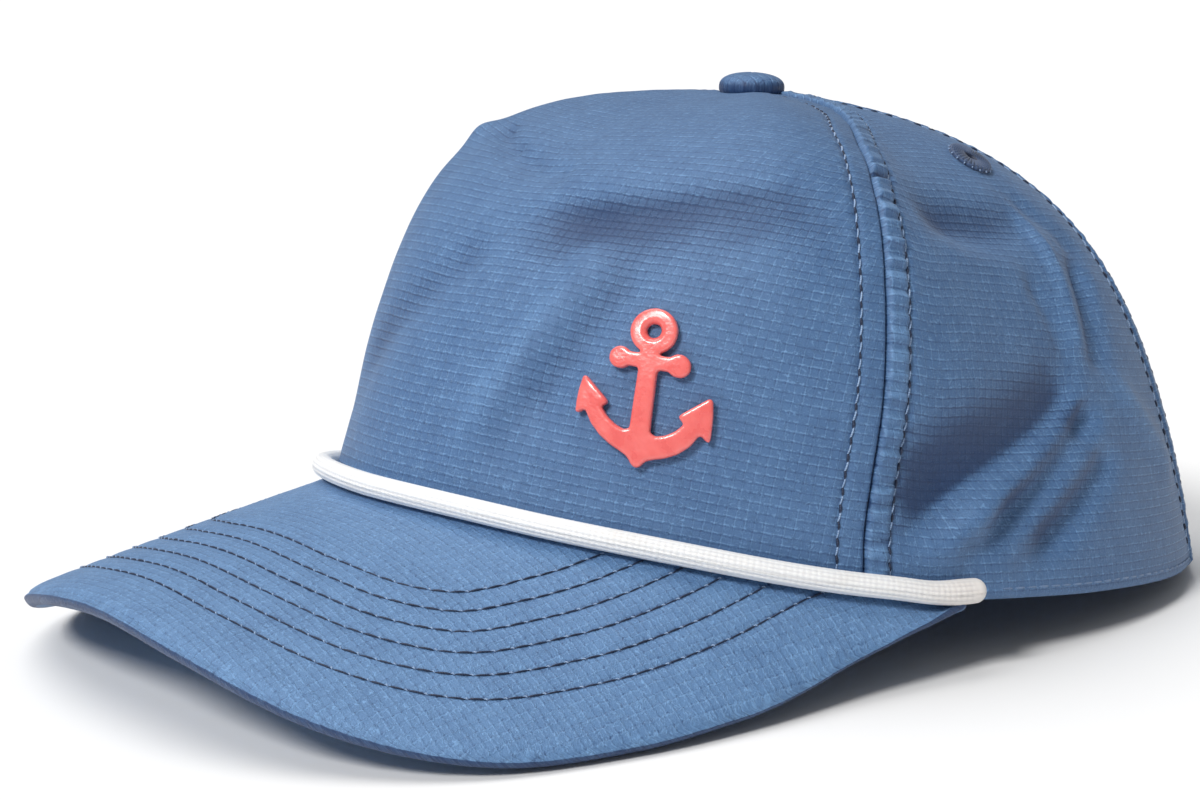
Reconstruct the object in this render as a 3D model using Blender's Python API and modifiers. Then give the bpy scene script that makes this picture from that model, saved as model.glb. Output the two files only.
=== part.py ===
# Rope hat: a five-panel cap with a curved peak and a braided rope laid along the joint of
# crown and peak. The wearer faces -Y, and the wearer's left is +X.

import math

import bmesh
import bpy
import numpy as np
from mathutils import Matrix

mm = 0.001

# plan of the head opening
halfWidth = 80.2 * mm
frontLength = 90.3 * mm
backLength = 100.5 * mm
frontSquareness = 1.86
backSquareness = 2.21

# crown
crownHeight = 104.6 * mm
buttonBack = 3.0 * mm
crownTilt = math.radians(4.5)
tipRadius = 3.0 * mm
clothThickness = 1.5 * mm
hemThickness = 2.2 * mm
hemHeight = 9.0 * mm
seamGap = 0.4 * mm
restGap = 0.35 * mm

# peak
peakLength = 61.5 * mm
peakHalfWidth = 83.4 * mm
peakCentre = 45.0 * mm
peakThickness = 3.0 * mm
peakEdge = 0.9 * mm
peakSlope = math.radians(7.3)
archDrop = 25.2 * mm
jointAngle = 81.0
jointEndWidth = 2.0 * mm

# rim beside the peak
sideLift = 6.5 * mm

# rope
ropeThickness = 4.4 * mm
ropeOverrun = 5.0

# button and eyelets
buttonWidth = 13.6 * mm
buttonHeight = 4.6 * mm
eyeletWidth = 9.6 * mm
eyeletHole = 2.6 * mm
eyeletHeight = 1.1 * mm
eyeletAngle = 119.0
eyeletUp = 0.672

# opening over the strap at the back, and the strap
openingHalfWidth = 36.0 * mm
openingHeight = 44.0 * mm
strapHeight = 20.0 * mm
strapThickness = 1.5 * mm
strapOverlap = 9.0 * mm
strapLift = 1.2 * mm

# anchor, upright in its own frame
anchorAngle = 41.0
anchorUp = 0.185
anchorHeight = 30.8 * mm
anchorThickness = 1.8 * mm
anchorLean = math.radians(-5.5)

# Each row is a meridian of the crown, from rim to button.
crownRows = (
    # plan angle, lean of the wall, steep share of the height, flat share of the radius, droop
    (0, 0.20, 0.61, 0.625, 0.026),
    (35, 0.145, 0.765, 0.72, 0.020),
    (65, 0.035, 0.867, 0.82, 0.001),
    (95, 0.067, 0.615, 0.713, 0.024),
    (130, 0.10, 0.668, 0.664, 0.033),
    (180, 0.126, 0.582, 0.596, 0.012),
)

# Where the seams run, from rim to button.
seamRows = (
    # way up, plan angle of the front seam, plan angle of the rear seam
    (0.0, 69, 135),
    (0.2, 72.5, 131),
    (0.4, 75, 133),
    (0.6, 78, 139),
    (0.72, 82.5, 142),
    (0.8, 91, 144),
    (0.9, 106, 146),
    (1.0, 110, 148),
)

# Outline of the peak seen from above, in directions from its centre.
peakRows = (
    # direction, reach as a share of the way from the half width to the front edge
    (0, 1.0),
    (15, 1.08),
    (30, 1.15),
    (45, 1.01),
    (60, 0.58),
    (75, 0.21),
    (90, 0.0),
)

# Small lifts of the joint over the plain arch of the peak.
jointRows = (
    # plan angle, share of the arch's drop
    (0, 0.07),
    (25, 0.085),
    (50, 0.09),
    (70, 0.0),
    (82, -0.09),
)

# Height of the rim beside and behind the peak.
rimRows = (
    # plan angle, share of the side lift
    (105, 1.37),
    (125, 0.74),
    (145, 0.25),
    (162, 0.0),
    (180, 0.0),
)

# Dents and folds of the soft cloth, each a straight trough (a ridge where its depth is below 0).
foldRows = (
    # from plan angle, from way up, to plan angle, to way up, width as a share of the half
    # width, depth as a share of the half width
    (-58, 0.60, -30, 0.64, 0.075, 0.018),
    (-20, 0.10, 12, 0.36, 0.10, 0.016),
    (15, 0.50, 60, 0.52, 0.16, 0.014),
    (74, 0.06, 103, 0.235, 0.055, 0.040),
    (80, 0.05, 104, 0.185, 0.04, -0.020),
    (88, 0.08, 108, 0.215, 0.045, 0.032),
    (98, 0.06, 108, 0.14, 0.04, 0.018),
    (84, 0.54, 112, 0.53, 0.09, 0.030),
    (122, 0.44, 112, 0.29, 0.05, 0.024),
    (114, 0.26, 126, 0.13, 0.05, -0.020),
    (-80, 0.10, -106, 0.27, 0.06, 0.028),
    (-92, 0.50, -114, 0.46, 0.09, 0.022),
    (-118, 0.34, -128, 0.14, 0.05, 0.018),
)

clothBlue = (0.167, 0.28, 0.492, 1)
ropeWhite = (0.84, 0.84, 0.83, 1)
emblemCoral = (0.78, 0.155, 0.15, 1)
threadBlue = (0.10, 0.16, 0.29, 1)


def throughRows(rows, column, at, levelEnd=True):
    # a smooth curve through one column of a table, level at its start
    places = np.array([row[0] for row in rows], float)
    values = np.array([row[column] for row in rows], float)
    slopes = np.gradient(values, places)
    slopes[0] = 0
    if levelEnd:
        slopes[-1] = 0
    at = np.clip(np.asarray(at, float), places[0], places[-1])
    k = np.clip(np.searchsorted(places, at, side="right") - 1, 0, len(places) - 2)
    step = places[k + 1] - places[k]
    t = (at - places[k]) / step
    start = values[k] * (1 + 2 * t) * (1 - t) ** 2 + slopes[k] * step * t * (1 - t) ** 2
    end = values[k + 1] * (3 - 2 * t) * t * t - slopes[k + 1] * step * t * t * (1 - t)
    return start + end


def mirrored(angle):
    # plan angles count from the front, the same to both sides
    return np.abs((np.asarray(angle, float) + 180) % 360 - 180)


def planPoint(angle):
    turn = np.radians(angle)
    across = np.sin(turn)
    along = np.cos(turn)
    power = np.where(along > 0, frontSquareness, backSquareness)
    length = np.where(along > 0, frontLength, backLength)
    size = (np.abs(across) ** power + np.abs(along) ** power) ** (-1 / power)
    return halfWidth * across * size, -length * along * size


def archAt(x, y):
    # the peak's plain arch, measured from its highest line at the joint
    return np.tan(peakSlope) * (y + frontLength) - archDrop * (x / halfWidth) ** 2


def jointLift(angle):
    return archDrop * throughRows(jointRows, 1, mirrored(angle))


def outlinePoint(share):
    # the peak's free edge, from the middle (0) to the joint's end (1)
    endX, endY = planPoint(jointAngle)
    endX = endX + jointEndWidth
    endDirection = np.degrees(np.arctan2(endX, -endY - peakCentre))
    front = frontLength + peakLength - peakCentre
    rows = [(row[0], peakHalfWidth + (front - peakHalfWidth) * row[1]) for row in peakRows]
    rows.append((endDirection, np.hypot(endX, endY + peakCentre)))
    direction = share * endDirection
    reach = throughRows(rows, 1, direction, levelEnd=False)
    return reach * np.sin(np.radians(direction)), -peakCentre - reach * np.cos(np.radians(direction))


def archPoint(share, out):
    # upper face of the plain arch: share from the middle to the end, out from joint to edge
    x, y = planPoint(share * jointAngle)
    away = 1 + restGap / np.hypot(x, y)
    freeX, freeY = outlinePoint(share)
    px = x * away + (freeX - x * away) * out
    py = y * away + (freeY - y * away) * out
    return np.stack([px, py, archAt(px, py)], -1)


def normalOf(place, a, b, stepA, stepB):
    across = place(a + stepA, b) - place(a - stepA, b)
    along = place(a, b + stepB) - place(a, b - stepB)
    normal = np.cross(across, along)
    return normal / np.linalg.norm(normal, axis=-1, keepdims=True)


def jointHeight():
    # height of the joint's middle, so that the peak's side edges stand on the ground
    share = np.linspace(0.02, 0.95, 120)
    out = np.full_like(share, 0.995)
    under = archPoint(share, out) + peakThickness * normalOf(archPoint, share, out, 0.004, 0.004)
    return -under[:, 2].min()


jointTop = jointHeight()


def rimHeight(angle):
    a = mirrored(angle)
    x, y = planPoint(a)
    front = jointTop + archAt(x, y) + jointLift(a)
    endX, endY = planPoint(jointAngle)
    end = jointTop + archAt(endX, endY) + jointLift(jointAngle)
    rows = [(jointAngle - 4, float(end) / sideLift)] + list(rimRows)
    side = sideLift * throughRows(rows, 1, a)
    blend = np.clip((a - jointAngle + 8) / 14, 0, 1)
    blend = blend * blend * (3 - 2 * blend)
    return front * (1 - blend) + side * blend


def peakPoint(share, out):
    # upper face of the peak: the arch, bent to the rim along the joint and at its narrow ends
    point = archPoint(share, out)
    start = archPoint(share, 0 * out)
    width = np.linalg.norm(archPoint(share, 0 * out + 1) - start, axis=-1)
    rim = rimHeight(share * jointAngle)
    bend = 1 - out * np.clip(width / (0.5 * peakLength), 0, 1)
    height = point[..., 2] + jointTop + (rim - jointTop - start[..., 2]) * bend
    return np.stack([point[..., 0], point[..., 1], height], -1)


def plainCrown(angle, up):
    # a point of the crown before its folds, up from the rim (0) to the button (1)
    a = mirrored(angle)
    lean, steep, flat, droop = (throughRows(crownRows, k, a) for k in (1, 2, 3, 4))
    x, y = planPoint(angle)
    rim = rimHeight(angle)
    radius = np.hypot(x, y - buttonBack)
    rise = crownHeight - rim
    fall = np.tan(crownTilt) * (y - buttonBack) / radius
    outs = (radius, radius - lean * halfWidth, flat * radius, 0 * radius)
    top = crownHeight - fall * flat * radius - droop * crownHeight
    heights = (rim, rim + steep * rise, top, crownHeight + 0 * radius)
    weights = ((1 - up) ** 3, 3 * up * (1 - up) ** 2, 3 * up * up * (1 - up), up ** 3)
    out = sum(w * r for w, r in zip(weights, outs))
    z = sum(w * h for w, h in zip(weights, heights))
    return np.stack([x / radius * out, buttonBack + (y - buttonBack) / radius * out, z], -1)


def foldDepth(angle, up):
    # how far the cloth is pushed in, with distances taken on the flattened crown
    wide = math.radians(1) * halfWidth
    tall = crownHeight + 0.3 * halfWidth
    angle = (np.asarray(angle, float) + 180) % 360 - 180
    depth = np.zeros(np.broadcast(angle, up).shape)
    for fromAngle, fromUp, toAngle, toUp, width, deep in foldRows:
        lineX = (toAngle - fromAngle) * wide
        lineY = (toUp - fromUp) * tall
        x = (angle - fromAngle) * wide
        y = (up - fromUp) * tall
        along = np.clip((x * lineX + y * lineY) / (lineX ** 2 + lineY ** 2), 0, 1)
        away = np.hypot(x - along * lineX, y - along * lineY) / (width * halfWidth)
        depth = depth + deep * halfWidth * np.exp(-away ** 2) * (1 - 0.4 * along)
    return depth * np.clip(up / 0.05, 0, 1) * np.clip((1 - up) / 0.12, 0, 1)


def crownPoint(angle, up, out=0.0):
    angle, up = np.broadcast_arrays(np.asarray(angle, float), np.asarray(up, float))
    normal = normalOf(plainCrown, angle, up, 0.4, 0.003)
    return plainCrown(angle, up) + normal * (out - foldDepth(angle, up))[..., None]


def shareUp(angle, length):
    # how far up the crown a length above the rim is
    a = mirrored(angle)
    return length / (3 * throughRows(crownRows, 2, a) * (crownHeight - rimHeight(a)))


def seamAngle(column, up):
    return throughRows(seamRows, column, up, levelEnd=False)


def tipShare():
    # how far up the panels reach, where the crown is still wider than the button's stem
    up = np.linspace(0.9, 1, 400)
    radius = np.hypot(*(plainCrown(95, up)[:, :2] - (0, buttonBack)).T)
    return float(up[radius > tipRadius][-1])


tipUp = tipShare()


def newCollection(name):
    collection = bpy.data.collections.new(name)
    bpy.context.scene.collection.children.link(collection)
    return collection


def newMaterial(name, color, roughness):
    material = bpy.data.materials.new(name)
    material.use_nodes = True
    shader = material.node_tree.nodes["Principled BSDF"]
    shader.inputs["Base Color"].default_value = color
    shader.inputs["Roughness"].default_value = roughness
    shader.inputs["Metallic"].default_value = 0.0
    return material


def newObject(name, mesh, material, collection=None):
    thing = bpy.data.objects.new(name, mesh)
    (collection or hat).objects.link(thing)
    if material:
        mesh.materials.append(material)
    thing.parent = stand
    return thing


def hideCutter(thing):
    thing.hide_render = True
    thing.display_type = "WIRE"
    return thing


def sheetMesh(name, place, columns, rows, smooth=True):
    # an open sheet: place turns shares across and along it into points
    bm = bmesh.new()
    bmesh.ops.create_grid(bm, x_segments=columns, y_segments=rows, size=0.5)
    shares = np.array([vert.co[:2] for vert in bm.verts]) + 0.5
    for vert, point in zip(bm.verts, place(shares[:, 0], shares[:, 1])):
        vert.co = point
    for face in bm.faces:
        face.smooth = smooth
    mesh = bpy.data.meshes.new(name)
    bm.to_mesh(mesh)
    bm.free()
    return mesh, shares


def addWall(thing, thickness, offset=-1):
    wall = thing.modifiers.new("wall", "SOLIDIFY")
    wall.thickness = thickness
    wall.offset = offset
    wall.use_even_offset = True
    wall.use_quality_normals = True
    return wall


def addCut(thing, cutter, operation="DIFFERENCE"):
    cut = thing.modifiers.new("cut", "BOOLEAN")
    cut.object = cutter
    cut.operation = operation
    cut.solver = "EXACT"
    return cut


def turned(name, profile, steps, material, collection=None):
    # a round piece from a profile of (radius, height), outer side from top to bottom
    mesh = bpy.data.meshes.new(name)
    closed = profile[0][0] > 0
    edges = [(k, k + 1) for k in range(len(profile) - 1)]
    if closed:
        edges.append((len(profile) - 1, 0))
    mesh.from_pydata([(r, 0, z) for r, z in profile], edges, [])
    thing = newObject(name, mesh, material, collection)
    screw = thing.modifiers.new("turn", "SCREW")
    screw.steps = steps
    screw.render_steps = steps
    screw.use_merge_vertices = True
    screw.merge_threshold = 0.00001
    screw.use_smooth_shade = True
    return thing


def frameOn(angle, up, out):
    # axes on the crown: X across, Y up along the cloth, Z straight out of it
    point = crownPoint(angle, up, out)
    normal = normalOf(crownPoint, np.float64(angle), np.float64(up), 1.5, 0.012)
    upward = np.array([0, 0, 1]) - normal * normal[2]
    upward = upward / np.linalg.norm(upward)
    across = np.cross(upward, normal)
    matrix = Matrix.Identity(4)
    for row in range(3):
        matrix[row][:] = (across[row], upward[row], normal[row], point[row])
    return matrix


def halfGap(edge, up):
    # half of the gap at a seam, as a plan angle
    below = np.clip(up - 0.01, 0, 1)
    above = np.clip(up + 0.01, 0, 1)
    run = np.linalg.norm(plainCrown(edge(above), above) - plainCrown(edge(below), below), axis=-1)
    radius = np.hypot(*(plainCrown(edge(up), up)[:, :2] - (0, buttonBack)).T)
    slant = np.radians(edge(above) - edge(below)) * radius / run
    return np.degrees(seamGap / 2 / radius / np.sqrt(1 - np.clip(slant, -0.95, 0.95) ** 2))


def addPanel(name, leftEdge, rightEdge, columns, rows):
    # leftEdge and rightEdge give plan angles, and a narrow column runs along each seam
    def place(across, along):
        up = along * tipUp
        left = leftEdge(up) + halfGap(leftEdge, up)
        right = rightEdge(up) - halfGap(rightEdge, up)
        across = np.interp(across, (0, 1 / columns, 1 - 1 / columns, 1), (0, 0.015, 0.985, 1))
        return crownPoint(left + (right - left) * across, up)

    mesh, shares = sheetMesh(name, place, columns, rows)
    panel = newObject(name, mesh, cloth)
    wall = addWall(panel, hemThickness)
    group = panel.vertex_groups.new(name="wall")
    hem = shareUp(150, hemHeight)
    for k, (across, along) in enumerate(shares):
        thick = 1.0 if along * tipUp < hem else clothThickness / hemThickness
        group.add([k], thick, "REPLACE")
    wall.vertex_group = "wall"
    return panel


def addPeak():
    def place(across, along):
        return peakPoint(across, 1 - along)

    mesh, shares = sheetMesh("peak", place, 15, 8)
    for vert in mesh.vertices:
        if abs(vert.co.x) < 0.01 * mm:
            vert.co.x = 0
    peak = newObject("peak", mesh, cloth)
    mirror = peak.modifiers.new("other half", "MIRROR")
    mirror.merge_threshold = 0.0001
    mirror.use_clip = True
    addWall(peak, peakThickness)
    rounding = peak.modifiers.new("edge", "BEVEL")
    rounding.width = peakEdge
    rounding.segments = 1
    rounding.limit_method = "ANGLE"
    rounding.angle_limit = math.radians(50)
    return peak


def ropePoint(angle):
    # centre line of the rope, resting on the peak and against the crown
    x, y = planPoint(angle)
    length = np.hypot(x, y)
    away = 1 + (ropeThickness / 2 + 1.3 * restGap) / length
    z = rimHeight(angle) + ropeThickness / 2 + restGap
    return np.stack([x * away, y * away, z], -1)


def addRope():
    last = jointAngle + ropeOverrun
    fine = ropePoint(np.linspace(-last, last, 800))
    run = np.concatenate([[0], np.cumsum(np.linalg.norm(np.diff(fine, axis=0), axis=1))])
    radius = ropeThickness / 2
    count = round(run[-1] / (1.9 * ropeThickness))
    ends = radius * (1 - np.cos(np.radians((20, 45, 70))))
    body = np.linspace(radius * 1.2, run[-1] - radius * 1.2, count)
    places = np.concatenate([ends, body, run[-1] - ends[::-1]])
    curve = bpy.data.curves.new("rope", "CURVE")
    curve.dimensions = "3D"
    curve.bevel_depth = radius
    curve.bevel_resolution = 3
    curve.use_fill_caps = True
    spline = curve.splines.new("POLY")
    spline.points.add(len(places) - 1)
    for point, place in zip(spline.points, places):
        near = min(place, run[-1] - place, radius)
        point.co = (*(np.interp(place, run, fine[:, k]) for k in range(3)), 1)
        point.radius = math.sqrt(1 - (1 - near / radius) ** 2)
    spline.use_smooth = True
    return newObject("rope", curve, white)


def addButton():
    radius = buttonWidth / 2
    ring = np.linspace(0, 360, 24, endpoint=False)
    up = 1 - buttonWidth / 2 / (3 * 0.66 * halfWidth)
    around = crownPoint(ring, up)
    front = around[0]
    back = around[12]
    tilt = math.atan2(front[2] - back[2], back[1] - front[1])
    normal = np.array([0, math.sin(tilt), math.cos(tilt)])
    middle = np.array([0, buttonBack, crownHeight])
    clear = max(float(((around - middle) @ normal).max()), 0) + restGap
    profile = [
        (radius * math.sin(t), buttonHeight * (0.28 + 0.72 * math.cos(t)))
        for t in np.radians((0, 18, 36, 54, 70, 84, 96))
    ]
    profile += [(radius * 0.93, buttonHeight * 0.04), (radius * 0.86, 0), (0, 0)]
    profile[0] = (0, buttonHeight)
    button = turned("top_button", profile, 28, cloth)
    button.location = middle + normal * clear
    button.rotation_euler = (-tilt, 0, 0)
    return button


def addEyelet(name, side, panel):
    place = frameOn(side * eyeletAngle, eyeletUp, 0)
    outer = eyeletWidth / 2
    inner = eyeletHole / 2
    middle = (outer + inner) / 2
    half = (outer - inner) / 2
    profile = [
        (middle + half * math.sin(t), eyeletHeight * max(math.cos(t), 0) ** 0.7)
        for t in np.radians((-80, -50, 0, 50, 80))
    ]
    profile += [(outer, 0), (inner, 0)]
    eyelet = turned(name, profile, 22, thread)
    eyelet.matrix_local = place @ Matrix.Translation((0, 0, restGap))
    bpy.ops.mesh.primitive_cylinder_add(vertices=22, radius=inner + 0.1 * mm, depth=12 * mm)
    cutter = hideCutter(bpy.context.object)
    cutter.name = name + "_cutter"
    for holder in cutter.users_collection:
        holder.objects.unlink(cutter)
    cutters.objects.link(cutter)
    cutter.parent = stand
    cutter.matrix_local = place
    addCut(panel, cutter)
    return eyelet


def addStrap():
    # inside the rim, and past the opening's edge on both sides
    inset = hemThickness + restGap
    fromBack = np.linspace(0, 80, 400)
    half = np.interp(openingHalfWidth + strapOverlap, planPoint(180 - fromBack)[0], fromBack)

    def place(across, along):
        angle = 180 - half + 2 * half * across
        low = shareUp(angle, strapLift)
        up = low + (shareUp(angle, strapLift + strapHeight) - low) * along
        return plainCrown(angle, up) - inset * normalOf(plainCrown, angle, up, 0.4, 0.003)

    mesh, shares = sheetMesh("closure_strap", place, 16, 3)
    strap = newObject("closure_strap", mesh, cloth)
    addWall(strap, strapThickness)
    return strap


def addOpening(panels):
    bpy.ops.mesh.primitive_cylinder_add(vertices=48, radius=1, depth=60 * mm)
    cutter = hideCutter(bpy.context.object)
    cutter.name = "opening_cutter"
    for holder in cutter.users_collection:
        holder.objects.unlink(cutter)
    cutters.objects.link(cutter)
    cutter.parent = stand
    cutter.scale = (openingHalfWidth, openingHeight, 1)
    cutter.rotation_euler = (math.radians(90), 0, 0)
    cutter.location = (0, backLength * 0.93, 0)
    for panel in panels:
        addCut(panel, cutter)


def anchorOutline():
    # one half from the ring down, in shares of the anchor's height, then mirrored
    ring, ringY = 0.151, 0.349
    shank = 0.058
    bar, barY = 0.045, 0.150
    ballX, ball = 0.192, 0.064
    points = []
    stop = math.asin(shank / ring)
    for t in np.linspace(math.pi / 2, -math.pi / 2 + stop, 16):
        points.append((ring * math.cos(t), ringY + ring * math.sin(t)))
    points.append((shank, barY + bar))
    stop = math.asin(bar / ball)
    for t in np.linspace(math.pi - stop, -math.pi + stop, 14):
        points.append((ballX + ball * math.cos(t), barY + ball * math.sin(t)))
    points.append((shank, barY - bar))
    # inner side of the arm, the fluke, the outer side of the arm
    points.append((shank * 1.05, -0.255))
    points += [(0.100, -0.262), (0.155, -0.244), (0.215, -0.205), (0.262, -0.158)]
    points += [(0.238, -0.132), (0.250, -0.122), (0.388, 0.000), (0.402, -0.004)]
    points += [(0.406, -0.110), (0.398, -0.222), (0.382, -0.228), (0.352, -0.232)]
    points += [(0.305, -0.298), (0.240, -0.358), (0.165, -0.398), (0.085, -0.420)]
    points += [(0.045, -0.440), (0.016, -0.486), (0.0, -0.498)]
    other = [(-x, y) for x, y in points[::-1] if x > 0]
    return [(x * anchorHeight, y * anchorHeight) for x, y in points + other]


def addAnchor():
    curve = bpy.data.curves.new("anchor_outline", "CURVE")
    curve.dimensions = "2D"
    curve.fill_mode = "BOTH"
    curve.extrude = 6 * mm
    hole = 0.047 * anchorHeight
    holeY = 0.349 * anchorHeight
    ring = [(hole * math.cos(t), holeY + hole * math.sin(t))
            for t in np.linspace(0, 2 * math.pi, 16, endpoint=False)]
    for outline in (anchorOutline(), ring):
        spline = curve.splines.new("POLY")
        spline.points.add(len(outline) - 1)
        spline.use_cyclic_u = True
        for point, (x, y) in zip(spline.points, outline):
            point.co = (x, y, 0, 1)
    flat = bpy.data.objects.new("flat", curve)
    cutters.objects.link(flat)
    bpy.context.view_layer.update()
    graph = bpy.context.evaluated_depsgraph_get()
    mesh = bpy.data.meshes.new_from_object(flat.evaluated_get(graph))
    bpy.data.objects.remove(flat)
    bm = bmesh.new()
    bm.from_mesh(mesh)
    bmesh.ops.remove_doubles(bm, verts=bm.verts, dist=0.00001)
    bmesh.ops.recalc_face_normals(bm, faces=bm.faces)
    bm.to_mesh(mesh)
    bm.free()
    cutter = hideCutter(newObject("anchor_cutter", mesh, None, cutters))
    cutter.matrix_local = frameOn(anchorAngle, anchorUp, 0) @ Matrix.Rotation(anchorLean, 4, "Z")
    wide = math.degrees(0.5 * anchorHeight / halfWidth)
    tall = 0.62 * float(shareUp(anchorAngle, anchorHeight))

    def place(across, along):
        return crownPoint(anchorAngle + wide * (2 * across - 1), anchorUp + tall * (2 * along - 1),
                          restGap)

    sheet, shares = sheetMesh("anchor_emblem", place, 9, 9)
    anchor = newObject("anchor_emblem", sheet, coral)
    addWall(anchor, anchorThickness, 1)
    addCut(anchor, cutter, "INTERSECT")
    return anchor


for leftover in list(bpy.data.objects):
    bpy.data.objects.remove(leftover)

hat = newCollection("rope_hat")
cutters = newCollection("cutters")
stand = bpy.data.objects.new("stand", None)
hat.objects.link(stand)
cloth = newMaterial("cloth_blue", clothBlue, 0.85)
white = newMaterial("rope_white", ropeWhite, 0.8)
coral = newMaterial("emblem_coral", emblemCoral, 0.35)
thread = newMaterial("thread_blue", threadBlue, 0.8)

addPanel("front_panel", lambda up: -seamAngle(1, up), lambda up: seamAngle(1, up), 24, 16)
left = addPanel("side_panel_left", lambda up: seamAngle(1, up), lambda up: seamAngle(2, up), 13, 16)
right = addPanel("side_panel_right", lambda up: -seamAngle(2, up), lambda up: -seamAngle(1, up), 13, 16)
backs = [
    addPanel("back_panel_left", lambda up: seamAngle(2, up), lambda up: 180 + 0 * up, 10, 16),
    addPanel("back_panel_right", lambda up: 180 + 0 * up, lambda up: 360 - seamAngle(2, up), 10, 16),
]
addOpening(backs)
addStrap()
addPeak()
addRope()
addButton()
addEyelet("eyelet_left", 1, left)
addEyelet("eyelet_right", -1, right)
addAnchor()

# the middle of the hat's length over the origin
backEnd = float(crownPoint(180, 0)[1])
frontEnd = -(frontLength + peakLength)
stand.location = (0, -(backEnd + frontEnd) / 2, 0)
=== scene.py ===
# Rope hat: every cloth, thread and moulded surface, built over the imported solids.
import math

import bpy
import numpy as np
from mathutils import Matrix, Vector
from mathutils.kdtree import KDTree


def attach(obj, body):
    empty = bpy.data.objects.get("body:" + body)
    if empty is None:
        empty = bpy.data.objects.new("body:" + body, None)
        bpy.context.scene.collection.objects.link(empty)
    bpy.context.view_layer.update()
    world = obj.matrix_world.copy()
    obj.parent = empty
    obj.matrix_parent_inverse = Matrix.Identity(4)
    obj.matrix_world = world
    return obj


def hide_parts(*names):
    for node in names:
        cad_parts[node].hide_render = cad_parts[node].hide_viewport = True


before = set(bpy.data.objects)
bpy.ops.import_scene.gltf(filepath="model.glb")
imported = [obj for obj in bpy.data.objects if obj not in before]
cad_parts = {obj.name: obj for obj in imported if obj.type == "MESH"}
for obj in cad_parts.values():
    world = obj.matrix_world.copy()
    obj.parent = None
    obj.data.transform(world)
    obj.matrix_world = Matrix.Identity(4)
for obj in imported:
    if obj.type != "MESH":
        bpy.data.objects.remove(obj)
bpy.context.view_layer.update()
mm = 0.001

# The hat's own form, in the same terms as its solids: plan angles count from the front.
crown = {
    "halfWidth": 80.2 * mm, "frontLength": 90.3 * mm, "backLength": 100.5 * mm,
    "frontSquareness": 1.86, "backSquareness": 2.21,
    "height": 104.6 * mm, "buttonBack": 3.0 * mm, "sideLift": 6.5 * mm,
    "tilt": math.radians(4.5), "topUp": 0.984,
    "wall": 1.5 * mm, "hem": 2.2 * mm, "hemHeight": 9.0 * mm,
    # plan angle, lean of the wall, steep share of the height, flat share of the radius, droop
    "meridians": (
        (0, 0.20, 0.61, 0.625, 0.026),
        (35, 0.145, 0.765, 0.72, 0.020),
        (65, 0.035, 0.867, 0.82, 0.001),
        (95, 0.067, 0.615, 0.713, 0.024),
        (130, 0.10, 0.668, 0.664, 0.033),
        (180, 0.126, 0.582, 0.596, 0.012),
    ),
    # way up, plan angle of the front seam, plan angle of the rear seam
    "seams": (
        (0.0, 69, 135), (0.2, 72.5, 131), (0.4, 75, 133), (0.6, 78, 139),
        (0.72, 82.5, 142), (0.8, 91, 144), (0.9, 106, 146), (1.0, 110, 148),
    ),
    # plan angle, share of the side lift
    "rim": ((105, 1.37), (125, 0.74), (145, 0.25), (162, 0.0), (180, 0.0)),
}

peak = {
    "length": 61.5 * mm, "halfWidth": 83.4 * mm, "centre": 45.0 * mm, "thickness": 3.0 * mm,
    "slope": math.radians(7.3), "archDrop": 25.2 * mm, "jointAngle": 81.0,
    "jointEndWidth": 2.0 * mm, "restGap": 0.35 * mm,
    # direction, reach as a share of the way from the half width to the front edge
    "outline": ((0, 1.0), (15, 1.08), (30, 1.15), (45, 1.01), (60, 0.58), (75, 0.21), (90, 0.0)),
    # plan angle, share of the arch's drop
    "joint": ((0, 0.07), (25, 0.085), (50, 0.09), (70, 0.0), (82, -0.09)),
    # way from the middle to the joint's end, how far the free edge stands over the plain arch in mm
    "edge": ((0, -1.3), (0.30, -1.3), (0.42, 0.0), (0.60, 0.0),
             (0.78, -2.0), (0.87, -0.8), (0.93, 1.0), (1.0, 2.4)),
    "stitchRows": 6, "firstRow": 12.0 * mm, "rowStep": 5.2 * mm, "stitch": 3.55 * mm,
    "roll": 5.0 * mm,  # how far in from the free edge the upper cloth starts to roll over
}

# Dents and folds of the cloth: a trough from one place to another, a ridge where its depth
# is below 0, with its own spread to the upper or front side and to the other side.
folds = (
    # from angle, from up, to angle, to up, spread above, spread below and depth in mm
    (-46, 0.600, -64, 0.575, 4.5, 5.0, -1.9),
    (-48, 0.645, -20, 0.625, 3.6, 3.4, 1.9),
    (-24, 0.625, 10, 0.585, 3.6, 4.2, 1.4),
    (-30, 0.10, -2, 0.38, 7.0, 8.0, 2.2),
    (8, 0.47, 62, 0.47, 6.0, 15.0, 3.6),
    (12, 0.06, 28, 0.36, 5.5, 6.0, -2.4),
    (21, 0.10, 36, 0.32, 5.5, 5.0, 1.9),
    (72, 0.045, 103, 0.235, 9.0, 2.4, 5.4),
    (78, 0.04, 104, 0.185, 2.2, 2.4, -2.6),
    (84, 0.05, 108, 0.215, 2.4, 2.6, 5.0),
    (92, 0.03, 109, 0.15, 2.4, 2.8, 3.4),
    (84, 0.54, 112, 0.53, 6.5, 7.0, 3.0),
    (86, 0.47, 103, 0.45, 4.0, 4.0, -1.0),
    (122, 0.46, 114, 0.29, 3.4, 3.4, 3.2),
    (114, 0.26, 126, 0.13, 3.6, 3.6, -2.0),
    (105, 0.45, 107, 0.31, 3.0, 2.6, 1.5),
    (116, 0.55, 110, 0.32, 2.4, 2.4, -1.9),
    (116, 0.60, 124, 0.45, 3.4, 3.4, 1.5),
    (-80, 0.10, -106, 0.27, 4.8, 4.8, 2.2),
    (-92, 0.50, -114, 0.46, 7.2, 7.2, 1.8),
    (-118, 0.34, -128, 0.14, 4.0, 4.0, 1.4),
)


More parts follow.
